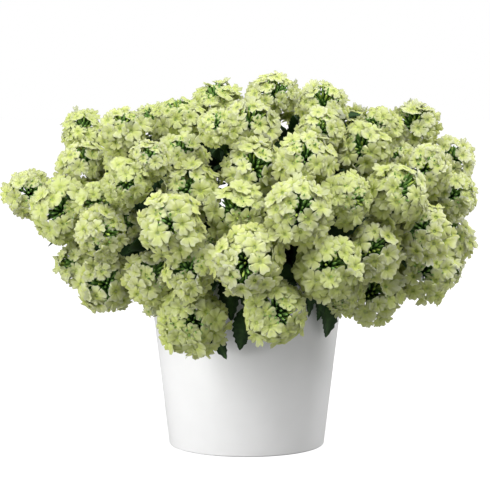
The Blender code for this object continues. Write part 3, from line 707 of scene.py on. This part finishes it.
def head_parts(middle, facing, radius):
    """Everything that shows of one head: its florets, their tubes and calyces, and its buds."""
    places, looks, sizes, down = florets_on(middle, facing, radius)
    count = len(places)
    twist = draw.uniform(0, math.tau, count)
    # Painted shade: how low a floret sits sets how much of the shaded petal colour it takes, plus a
    # random share
    low = np.clip((down - LOW_FROM) / LOW_OVER, 0, 1)[:, None] * LOW_MOST
    low = low + draw.uniform(0, LOW_SPREAD, (count, 1))
    tint = draw.uniform(0, HEAD_TINTS) + draw.uniform(0, FLORET_TINTS, (count, 1))
    discs, disc_faces, out, vein = floret_shapes(count)
    tubes, tube_faces, light = tube_shapes(count)
    discs = place_shapes(discs, places, looks, sizes, twist)
    tubes = place_shapes(tubes, places, looks, sizes, twist)
    roots, ways, lengths, yellow = buds_on(middle, facing, radius)
    buds, bud_faces, share = bud_shapes(len(roots))
    buds[..., :2] *= (BUD_WIDTH / lengths)[:, None, None]
    buds = place_shapes(buds, roots, ways, lengths, draw.uniform(0, math.tau, len(roots)))
    bud_light = yellow[:, None] * (share > TIP_FROM) + PALER_OUTWARDS * share
    return [
        (discs, disc_faces, 0, {"out": out, "vein": vein, "low": low, "tint": tint}),
        (tubes, tube_faces, 1, {"light": light}),
        (buds, bud_faces, 1, {"light": bud_light}),
    ]


triangles = 0
for node in head_nodes:
    parts = [part for head in heads[node] for part in head_parts(*head)]
    points, faces, slots, attributes = shapes_to_arrays(parts)
    piece = make_piece(node + "_bloom", points, faces, [PETAL, CALYX], slots, attributes)
    stand_for(piece, [node])
    triangles += triangle_count(faces)
print(len(head_nodes), "head pieces with", triangles, "triangles")

# %% [markdown]
# ## Stems
#
# Under the bloom, nine branches leave the crown: eight lean out towards the heads of their own
# sector and one goes up to those over the middle. Each is a cubic curve.

# %% Branches
SOIL_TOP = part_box("soil")[1][2]
POT_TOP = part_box("pot")[1][2]
POT_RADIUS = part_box("pot")[1][0]
CROWN = (SOIL_TOP + 0.010) * UP
BRANCHES_AROUND = 8
BRANCH_REACH = 0.5
BRANCH_CLEARANCE = 0.022
BRANCH_LEAN = 0.16
BRANCH_RISE = 0.024
BRANCH_RADIUS = 0.0026
STALK_RADIUS = 0.0012
STEEP = math.radians(58)
CURVE_POINTS = 14


def bezier(a, b, c, d, count):
    """Points of cubic curves, with the ends' arrays broadcast, as (..., count, 3)."""
    t = np.linspace(0.0, 1.0, count)[:, None]
    a, b, c, d = (np.asarray(p)[..., None, :] for p in (a, b, c, d))
    return a * (1 - t) ** 3 + 3 * b * t * (1 - t) ** 2 + 3 * c * t**2 * (1 - t) + d * t**3


stalk_ends = MIDDLES - FACINGS * (RADII * UNDERSIDE_DEPTH)[:, None]
ways = stalk_ends - CROWN
steep = np.arctan2(ways[:, 2], np.hypot(ways[:, 0], ways[:, 1])) > STEEP
sector = np.round(np.arctan2(ways[:, 1], ways[:, 0]) / math.tau * BRANCHES_AROUND) % BRANCHES_AROUND
sector[steep] = BRANCHES_AROUND
branches = []
for number in np.unique(sector):
    tip = CROWN + (stalk_ends[sector == number].mean(axis=0) - CROWN) * BRANCH_REACH
    tip[2] = max(tip[2], POT_TOP + BRANCH_CLEARANCE)
    flat = np.array([tip[0], tip[1], 0.0]) * BRANCH_LEAN
    start = CROWN - 0.004 * UP + flat * 0.15
    second, third = start + BRANCH_RISE * UP + flat, tip - (tip - CROWN) * 0.35
    branches.append(bezier(start, second, third, tip, CURVE_POINTS))
branches = np.array(branches)
print(len(branches), "branches for", len(stalk_ends), "stalks")

# %% [markdown]
# ### Stalks
#
# A thin stalk goes from a branch to each head, and reaches it along the head's own axis. Of many
# such curves, from several roots and with several bends, the one kept is the shortest that passes
# through no other head.

# %% Stalks
WALL_ZONE = 0.008
BEND_TURNS = 6
BENDS = (0.02, 0.045)
LEADS = np.array([0.014, 0.030])
STALK_TURN, STALK_LIFT = 0.35, 0.006
BLOCKED_COST = 0.5


def blocked(curves, skip=None, margin=0.002):
    """For each curve, how many of its points are inside a head or in the pot's wall."""
    inside = nearness(curves, margin, skip) < 1.0
    out = np.hypot(curves[..., 0], curves[..., 1])
    low = curves[..., 2] < POT_TOP + margin
    wall = low & (out > POT_RADIUS - WALL_ZONE) & (out < POT_RADIUS + margin)
    return (inside | wall).sum(axis=-1)


def stalk_to(number):
    """The shortest clear curve from a branch to one head."""
    end, facing = stalk_ends[number], FACINGS[number]
    roots = branches[:, CURVE_POINTS // 2:, :].reshape(-1, 3)
    turns = np.arange(BEND_TURNS) * math.tau / BEND_TURNS
    side, up, _ = basis_of(facing)
    around = side * np.cos(turns)[:, None] + up * np.sin(turns)[:, None]
    bends = np.concatenate([np.zeros((1, 3))] + [around * size for size in BENDS])
    root, bend, lead = np.meshgrid(range(len(roots)), range(len(bends)), range(len(LEADS)), indexing="ij")
    root, bend, lead = roots[root.ravel()], bends[bend.ravel()], LEADS[lead.ravel()][:, None]
    gap = np.linalg.norm(end - root, axis=1, keepdims=True)
    rise = root + (end - root) * STALK_TURN + bend + STALK_LIFT * UP
    curves = bezier(root, rise, end - facing * np.minimum(lead, gap * 0.6), end, CURVE_POINTS)
    length = np.linalg.norm(np.diff(curves, axis=1), axis=2).sum(axis=1)
    return curves[np.argmin(length + blocked(curves, number) * BLOCKED_COST)]


stalks = np.array([stalk_to(number) for number in range(len(stalk_ends))])
print("blocked stalk points", sum(int(blocked(s, k)) for k, s in enumerate(stalks)))

# %% [markdown]
# ### Tubes
#
# A verbena's stems are square with rounded corners. They are so thin that six sides show the same.

# %% Tubes along curves
def tubes_along(curves, radius_start, radius_end, sides=6):
    """Closed tubes: a ring of points round each curve point, in a frame carried along the curve."""
    ahead = unit(np.gradient(curves, axis=-2))
    helper = unit(np.array([0.31, 0.17, 0.93]))
    side = unit(np.cross(ahead, helper))
    up = np.cross(ahead, side)
    turn = np.arange(sides) * math.tau / sides
    share = np.linspace(0, 1, curves.shape[-2])[:, None, None]
    thick = radius_start + (radius_end - radius_start) * share
    ring = side[..., None, :] * np.cos(turn)[:, None] + up[..., None, :] * np.sin(turn)[:, None]
    rings = curves[..., None, :] + ring * thick
    count, rows = curves.shape[:2]
    points = np.concatenate([rings.reshape(count, -1, 3), curves[:, :1], curves[:, -1:]], axis=1)
    return points, closed_faces(rows, sides)


# %% [markdown]
# ## Leaves
#
# A leaf is a spear with coarse rounded teeth, folded a little along its sunken midrib, and its side
# veins sink in too, so the blade between them puffs up. The grid runs from base to tip and from one
# edge to the other. Its lower face is the same grid moved down by the blade's thickness, and the
# two are joined all round.

# %% Leaf shapes
LEAF_TEETH = 8
LEAF_ROWS = 2 * LEAF_TEETH + 1
LEAF_COLUMNS = 5
LEAF_THICKNESS = 0.0005
BLADE, TOOTH_DEPTH, TOOTH_LEAD = 0.84, 0.18, 0.030
VEIN_SLANT, VEIN_DEPTH, FOLD = 0.16, 0.10, 0.42
BOW, BOW_SPREAD, TWIST = 0.10, 0.05, 0.25
MIDRIB = 0.1


def leaf_shapes(lengths, widths):
    """Blades along X with their upper side up Z, as (count, points, 3), with faces and vein mask.

    Half the width is a sine hump, widest below the middle, cut by a sawtooth of rounded teeth. The
    height arches along the blade, folds up from the midrib and dips along the slanting veins."""
    along = np.linspace(0.0, 1.0, LEAF_ROWS)[:, None]
    across = np.linspace(-1.0, 1.0, LEAF_COLUMNS)[None, :]
    hump = np.sin(math.pi * along**0.80) ** 0.85
    tooth = abs(np.sin(math.pi * LEAF_TEETH * along))
    half = np.maximum(hump * (BLADE + TOOTH_DEPTH * tooth), 0.02)
    lead = TOOTH_LEAD * tooth * across**2 * hump
    vein = np.cos(math.tau * LEAF_TEETH * (along - VEIN_SLANT * abs(across))) * 0.5 + 0.5
    shape = abs(across) ** 0.9
    bow = draw.normal(BOW, BOW_SPREAD, (len(lengths), 1, 1))
    twist = draw.normal(0.0, TWIST, (len(lengths), 1, 1))
    length, width = lengths[:, None, None], widths[:, None, None]
    x = (along + lead) * length + 0 * width
    y = across * half * width / 2 + 0 * length
    z = bow * length * np.sin(math.pi * along) - 0.35 * bow * length * along
    z = z + (FOLD * shape - VEIN_DEPTH * vein * (abs(across) > MIDRIB)) * half * width / 2
    z = z + twist * y * along
    top = np.stack([x, y, z], axis=-1).reshape(len(lengths), -1, 3)
    under = top - LEAF_THICKNESS * UP
    faces = grid_faces(LEAF_ROWS, LEAF_COLUMNS)
    index = np.arange(LEAF_ROWS * LEAF_COLUMNS).reshape(LEAF_ROWS, LEAF_COLUMNS)
    rim = np.concatenate([index[0, :-1], index[:-1, -1], index[-1, :0:-1], index[:0:-1, 0]])
    beyond = np.roll(rim, -1)
    size = index.size
    walls = np.stack([rim, rim + size, beyond + size, beyond], axis=-1)
    both = [faces[:, ::-1], faces + size, walls[:, ::-1]]
    lightness = (0.25 + 0.75 * (abs(across) < MIDRIB)) * (1.0 + 0 * along)
    lightness = np.maximum(lightness, 0.45 * (vein > 0.8))
    lightness = np.concatenate([lightness.ravel(), np.full(size, 0.6)])
    return np.concatenate([top, under], axis=1), both, lightness


def place_leaves(shapes, bases, along, normal):
    """Blades moved to their bases, with X along each blade's way and Z towards its upper side."""
    along = unit(along)
    side = unit(np.cross(normal, along))
    axes = np.stack([along, side, np.cross(along, side)], axis=-2)
    return np.einsum("nij,njk->nik", shapes, axes) + bases[:, None, :]


# %% [markdown]
# ### Where leaves grow
#
# Leaves grow from the stalks and branches, and some arch out over the pot's rim at its sides and
# back. Many are tried. One may stay if its whole blade is clear of the heads, of the pot and of the
# soil, and if it lies under the canopy: the dome through the middles of the heads, so that no leaf
# stands over the bloom. Of those, only the first in each cell of a cubic grid is kept, which thins
# them evenly. Seven more hang out over the rim at the front, where the photograph shows leaves.

# %% Place the leaves
LEAF_TRIES = 12000
LEAF_LENGTHS = (0.032, 0.068)
LEAF_WIDTHS = (0.38, 0.50)
LEAF_SPACING = 0.0215
LEAF_DROP = 0.010
LEAF_GAP = 0.001
BOX_MARGIN = 0.004
OVER_RIM = 0.008
RIM_LEAVES = 60
RIM_LEAVES_FROM = -0.025
RIM_LEAF_LENGTHS = (0.030, 0.050)
CANOPY_BLEND = 45.0


def leaf_tries(count):
    """Random leaves on the stalks: bases, ways, upper sides and lengths."""
    carriers = np.concatenate([stalks] + [branches] * 3)
    number = draw.integers(0, len(carriers), count)
    place = draw.integers(1, CURVE_POINTS - 3, count)
    base = carriers[number, place]
    along = unit(carriers[number, place + 1] - base)
    outward = unit(base - (SOIL_TOP + 0.02) * UP)
    spin = draw.uniform(0, math.tau, count)[:, None]
    axes = basis_of(along)
    aside = axes[:, 0] * np.cos(spin) + axes[:, 1] * np.sin(spin)
    way = unit(aside + along * draw.uniform(0.3, 1.1, (count, 1)) + outward * 0.7)
    normal = unit(outward * 0.6 + along * 0.4 + 0.5 * UP)
    return base, way, normal, draw.uniform(*LEAF_LENGTHS, count)


def rim_tries(count):
    """Leaves that arch out over the pot's rim, all round it: bases, ways, upper sides and lengths."""
    angle = np.arange(count) * GOLDEN_TURN
    outward = np.stack([np.cos(angle), np.sin(angle), 0 * angle], axis=-1)
    base = outward * (POT_RADIUS - 0.002) + (POT_TOP + OVER_RIM) * UP
    base[:, 2] += draw.uniform(0.0, 0.020, count)
    way = unit(outward * draw.uniform(0.5, 1.2, (count, 1)) - UP)
    return base, way, unit(outward + 0.5 * UP), draw.uniform(*RIM_LEAF_LENGTHS, count)


def under_canopy(points):
    """True where points are no further from the crown than the middles of the heads around there.

    That distance is a mean over the heads. Those nearest to the point's own direction count most."""
    away = points - CROWN
    toward = MIDDLES - CROWN
    cosine = unit(away) @ unit(toward).T
    weight = np.exp(CANOPY_BLEND * (cosine - 1.0))
    canopy = weight @ np.linalg.norm(toward, axis=1) / weight.sum(axis=-1)
    return np.linalg.norm(away, axis=-1) < canopy


def evenly_spread(places, spacing):
    """True for the first of the places in each cell of a cubic grid."""
    _, first = np.unique(np.floor(places / spacing).astype(int), axis=0, return_index=True)
    chosen = np.zeros(len(places), bool)
    chosen[first] = True
    return chosen


bases, ways, normals, lengths = (
    np.concatenate(pair) for pair in zip(rim_tries(RIM_LEAVES), leaf_tries(LEAF_TRIES))
)
widths = lengths * draw.uniform(*LEAF_WIDTHS, len(lengths))
blades, leaf_faces, leaf_light = leaf_shapes(lengths, widths)
blades = place_leaves(blades, bases, ways, normals)
probe = blades[:, : LEAF_ROWS * LEAF_COLUMNS : 3]
out = np.hypot(probe[..., 0], probe[..., 1])
low, high = np.array(cad_low) + BOX_MARGIN, np.array(cad_high) - BOX_MARGIN
free = blocked(probe, margin=LEAF_GAP) == 0
free &= ((probe[..., 2] > SOIL_TOP + 0.003) | (out > POT_RADIUS)).all(axis=1)
free &= ((probe > low) & (probe < high)).all(axis=(1, 2))
free[:RIM_LEAVES] &= bases[:RIM_LEAVES, 1] > RIM_LEAVES_FROM
free[RIM_LEAVES:] &= under_canopy(probe[RIM_LEAVES:]).all(axis=1)
free[RIM_LEAVES:] &= (probe[RIM_LEAVES:, :, 2] > POT_TOP - LEAF_DROP).all(axis=1)
clear = np.flatnonzero(free)
kept = clear[evenly_spread(blades[clear].mean(axis=1), LEAF_SPACING)]
print(len(clear), "leaves are clear,", len(kept), "kept,", (kept < RIM_LEAVES).sum(), "on the rim")

# %% [markdown]
# ### The leaves that hang over the rim
#
# Each is given by where its blade starts and ends, in millimetres, and how wide it is. Its own thin
# stalk comes up from the crown and over the rim.

# %% Leaves over the rim
HANGING = np.array([
    [-33, -88, 124, -17, -92, 88, 17],
    [0, -90, 133, -6, -94, 96, 19],
    [61, -60, 140, 69, -53, 101, 22],
    [57, -68, 142, 61, -66, 117, 11],
    [-14, -80, 160, -13, -95, 121, 20],
    [-3, -82, 162, 4, -95, 124, 18],
    [46, -70, 160, 53, -78, 122, 17],
]) / 1000.0

hang_base, hang_tip, hang_width = HANGING[:, :3], HANGING[:, 3:6], HANGING[:, 6]
hang, _, _ = leaf_shapes(np.linalg.norm(hang_tip - hang_base, axis=1), hang_width)
hang_normal = unit(hang_tip * [1.0, 1.0, 0.0])
hang = place_leaves(hang, hang_base, hang_tip - hang_base, hang_normal)
over = hang_base * [0.93, 0.93, 0.0] + (POT_TOP + OVER_RIM) * UP
petioles = bezier(CROWN + (over - CROWN) * [0.4, 0.4, 0.8], over, over, hang_base, CURVE_POINTS)
print(len(hang), "leaves hang over the rim")

# %% [markdown]
# ### One piece of stems and leaves
#
# All tubes have as many rings and sides, so they share one set of faces. Stalks are a lighter green
# than branches, and the crown is nearly as dark as bark. Leaves differ in how light they are.

# %% Build stems and leaves
CROWN_FROM, CROWN_TO = SOIL_TOP - 0.024, SOIL_TOP + 0.012
crown_line = np.linspace(CROWN_FROM, CROWN_TO, CURVE_POINTS)[None, :, None] * UP
# Each row has curves, the radius at their start, the radius at their end and how light they are
stems = [
    (branches, BRANCH_RADIUS, BRANCH_RADIUS * 0.7, 0.3),
    (stalks, STALK_RADIUS * 1.2, STALK_RADIUS, 0.6),
    (petioles, 0.0009, 0.0008, 0.6),
    (crown_line, 0.0078, 0.0060, 0.1),
]
parts = [(*tubes_along(line, start, end), 0, {"light": light}) for line, start, end, light in stems]
shade = draw.uniform(0.4, 1.1, (len(kept), 1))
parts += [
    (blades[kept], leaf_faces, 1, {"light": leaf_light * shade}),
    (hang, leaf_faces, 1, {"light": leaf_light}),
]
points, faces, slots, attributes = shapes_to_arrays(parts)
foliage = make_piece("stems_and_leaves", points, faces, [STEM, LEAF], slots, attributes)
stand_for(foliage, ["leafy_stems"])
print("foliage", triangle_count(faces), "triangles")

# %% [markdown]
# ## Pot
#
# The pot is one turned wall: smooth, satin white, with a rounded rim. Its profile is an outline of
# radius against height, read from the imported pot's box, with arcs at the rim and the foot.

# %% Pot
POT_STEPS = 128
POT_WALL = 0.0028
POT_FLOOR = 0.004
FOOT_SHARE = 0.068 / 0.0855
FOOT_CORNER = 0.0016
POLE_RING = 0.02


def arc(middle, radius, start, end, count):
    """Points of (radius, height) on an arc, with angles in degrees."""
    angle = np.radians(np.linspace(start, end, count))
    return np.stack([middle[0] + radius * np.cos(angle), middle[1] + radius * np.sin(angle)], axis=-1)


foot = POT_RADIUS * FOOT_SHARE
edge = POT_WALL / 2
pot_profile = np.concatenate([
    [[POLE_RING, 0.0], [foot - 0.003, 0.0]],
    arc((foot - FOOT_CORNER, FOOT_CORNER), FOOT_CORNER, -80, 0, 6),
    arc((POT_RADIUS - edge, POT_TOP - edge), edge, 0, 180, 11),
    [[foot - POT_WALL, POT_FLOOR + 0.0005], [POLE_RING, POT_FLOOR]],
])
points = turned_points(*pot_profile.T, POT_STEPS, 0.0, POT_FLOOR)


def grey(level):
    return level, level, level


def pot_material():
    material, tree, shader = new_material("pot_white", 0.38, 0.5)
    plain = ramp(tree, grain_height(tree, 40.0), [(0.3, grey(0.83)), (0.7, grey(0.86))])
    add_mottle(tree, shader, plain, grey(0.80), 14.0, 0.25)
    add_bump(tree, shader, 1500.0, 0.06, 0.0003)
    return material


pot = make_piece("pot_shell", points, closed_faces(len(pot_profile), POT_STEPS), [pot_material()])
stand_for(pot, ["pot"])
print("pot", len(pot.data.polygons), "faces")

# %% [markdown]
# ## Compost
#
# The compost fills the pot. Its surface is a fine polar grid lifted by several sizes of waves,
# which calm down towards the pot's wall.

# %% Compost
SOIL_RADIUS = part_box("soil")[1][0]
SOIL_RINGS, SOIL_STEPS = 26, 96
SOIL_LEVEL = SOIL_TOP - 0.003
SOIL_FOOT = 0.0052
SOIL_GAP = 0.0012
WAVES, FIRST_WAVE, WAVE_STEP, WAVE_TURN, WAVE_HEIGHT = 9, 100.0, 1.45, 2.4, 0.00144


def lumps(x, y):
    """Height of the compost: a sum of waves of several lengths and directions."""
    height = 0 * x
    for k in range(WAVES):
        wave = FIRST_WAVE * WAVE_STEP**k
        ripple = np.sin(x * math.cos(k * WAVE_TURN) * wave + k) * np.sin(y * wave + 2 * k)
        height = height + ripple / (k + 2)
    return height * WAVE_HEIGHT


ring_share = np.linspace(0.02, 1.0, SOIL_RINGS)
wide, narrow = SOIL_RADIUS - SOIL_GAP, foot - POT_WALL - 0.001
radii = np.concatenate([ring_share * wide, [wide, narrow]])
heights = np.concatenate([np.full(SOIL_RINGS, SOIL_LEVEL), [SOIL_LEVEL - 0.003, SOIL_FOOT]])
ground = turned_points(radii, heights, SOIL_STEPS, SOIL_LEVEL, SOIL_FOOT)
upper = ground[: SOIL_RINGS * SOIL_STEPS]
calm = np.repeat(np.minimum(1.0, (1.001 - ring_share) * 12), SOIL_STEPS)
upper[:, 2] += lumps(upper[:, 0], upper[:, 1]) * calm
ground_faces = closed_faces(len(radii), SOIL_STEPS, flip=True)
print("compost surface", len(upper), "points")

# %% [markdown]
# ### Crumbs
#
# Small crumbs of bark lie on the surface, with a few white grains of perlite among them. Each is a
# box of eight points pushed out of square, turned any way.

# %% Crumbs
CRUMBS = 1500
PALE_SHARE = 0.05
corner = np.array([[x, y, z] for z in (-1, 1) for y in (-1, 1) for x in (-1, 1)], float)
box_faces = np.array([
    [0, 2, 3, 1], [4, 5, 7, 6], [0, 1, 5, 4], [2, 6, 7, 3], [0, 4, 6, 2], [1, 3, 7, 5],
])
spot = np.sqrt(draw.uniform(0.02, 1.0, CRUMBS)) * (SOIL_RADIUS - 0.004)
turn = draw.uniform(0, math.tau, CRUMBS)
x, y = spot * np.cos(turn), spot * np.sin(turn)
size = draw.uniform(0.0005, 0.0018, (CRUMBS, 1)) * draw.uniform(0.5, 1.3, (CRUMBS, 3))
crumbs = (corner + draw.normal(0, 0.18, (CRUMBS, 8, 3))) * size[:, None, :]
middle = np.stack([x, y, SOIL_LEVEL + 0.0002 + lumps(x, y)], axis=-1)
looks = unit(draw.normal(0, 1, (CRUMBS, 3)))
crumbs = place_shapes(crumbs, middle, looks, np.ones(CRUMBS), draw.uniform(0, math.tau, CRUMBS))
pale = (draw.uniform(0, 1, (CRUMBS, 1)) < PALE_SHARE) * 1.0
parts = [(ground[None], ground_faces, 0, {"pale": 0.0}), (crumbs, [box_faces], 0, {"pale": pale})]
points, faces, slots, attributes = shapes_to_arrays(parts)


def soil_material():
    material, tree, shader = new_material("compost", 0.95, 0.2)
    browns = [(0.35, (0.020, 0.012, 0.008)), (0.7, (0.085, 0.052, 0.032))]
    dark = ramp(tree, grain_height(tree, 420.0), browns)
    colour = mix_colours(tree, read_attribute(tree, "pale"), dark, (0.62, 0.60, 0.56))
    add_mottle(tree, shader, colour, (0.045, 0.028, 0.018), 90.0, 0.5)
    add_bump(tree, shader, 1600.0, 0.7, 0.0006)
    return material


soil = make_piece("compost", points, faces, [soil_material()], slots, attributes)
stand_for(soil, ["soil"])
print("compost", len(soil.data.polygons), "faces")

# %% [markdown]
# ## Studio
#
# The photograph has pure white behind and below, and soft light from above, in front and the left.
# Five soft rectangles make it. The key stands at the left and the top and front lights hang over the
# plant. The strip lies low at the left, so that the pot's left side is white. The right of the pot
# falls off to grey and comes back to white at its very edge, so the edge light stands behind it.

# %% Lights
def add_light(name, place, target, size, power):
    data = bpy.data.lights.new(name, "AREA")
    data.shape = "RECTANGLE"
    data.size, data.size_y = size
    data.energy = power
    light = bpy.data.objects.new(name, data)
    light.location = place
    x, y, z = np.subtract(target, place)
    tip, turn = math.atan2(math.hypot(x, y), -z), math.atan2(y, x) - math.pi / 2
    light.rotation_euler = (tip, 0.0, turn)
    bpy.context.scene.collection.objects.link(light)


add_light("key", (-1.9, -1.1, 0.90), (0, 0, 0.15), (1.8, 1.6), 34.0)
add_light("strip", (-1.1, -0.70, 0.08), (0, 0, 0.08), (0.6, 0.15), 5.2)
add_light("top", (0.9, -0.75, 1.9), (0, 0, 0.2), (1.6, 1.6), 33.0)
add_light("front", (0.2, -1.0, 1.9), (0, 0, 0.2), (1.6, 1.2), 27.0)
add_light("edge", (1.25, 1.2, 0.35), (0, 0, 0.1), (0.4, 1.0), 18.0)
print("lights ready")

# %% [markdown]
# ### Floor and surroundings
#
# The floor and the surroundings are white to the camera, as in the photograph. They throw less light
# than such white would, or the shade under the heads and on the pot would wash out.

# %% Floor and surroundings
FLOOR_REACH = 6.0
FLOOR_SEEN, FLOOR_GLOW = 0.95, 0.08
FILL_SEEN, FILL = 1.0, 0.33


def seen_or_not(tree, unseen, seen):
    """A strength that is one number for what the camera sees and another for the light it throws."""
    path = tree.nodes.new("ShaderNodeLightPath")
    strength = tree.nodes.new("ShaderNodeMapRange")
    strength.inputs["To Min"].default_value = unseen
    strength.inputs["To Max"].default_value = seen
    tree.links.new(path.outputs["Is Camera Ray"], strength.inputs["Value"])
    return strength.outputs["Result"]


floor_material, floor_tree, floor_shader = new_material("floor_pale", 0.9, 0.1)
floor_shader.inputs["Base Color"].default_value = (0.25, 0.25, 0.25, 1.0)
floor_shader.inputs["Emission Color"].default_value = (1.0, 1.0, 1.0, 1.0)
glow = seen_or_not(floor_tree, FLOOR_GLOW, FLOOR_SEEN)
floor_tree.links.new(glow, floor_shader.inputs["Emission Strength"])
corners = np.array([[-1, -1, 0], [1, -1, 0], [1, 1, 0], [-1, 1, 0]]) * FLOOR_REACH
floor = make_piece("floor", corners, [np.array([[0, 1, 2, 3]])], [floor_material])
floor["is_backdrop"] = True

world = bpy.data.worlds.new("studio")
world.use_nodes = True
background = world.node_tree.nodes["Background"]
background.inputs["Color"].default_value = (1.0, 1.0, 1.0, 1.0)
strength = seen_or_not(world.node_tree, FILL, FILL_SEEN)
world.node_tree.links.new(strength, background.inputs["Strength"])
bpy.context.scene.world = world
bpy.context.scene.view_settings.view_transform = "Standard"
print("studio ready")

# %% [markdown]
# ## Print the size and finish
#
# The dressed plant is meant to fill the same box as the imported model. Its box and its triangles are
# printed.

# %% Finish
low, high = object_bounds()
print("visual box", [round(v, 3) for v in low], [round(v, 3) for v in high])
shown = [piece for piece in bpy.context.scene.objects if piece.type == "MESH" and not piece.hide_render]
print("triangles in all", sum(len(p.vertices) - 2 for piece in shown for p in piece.data.polygons))
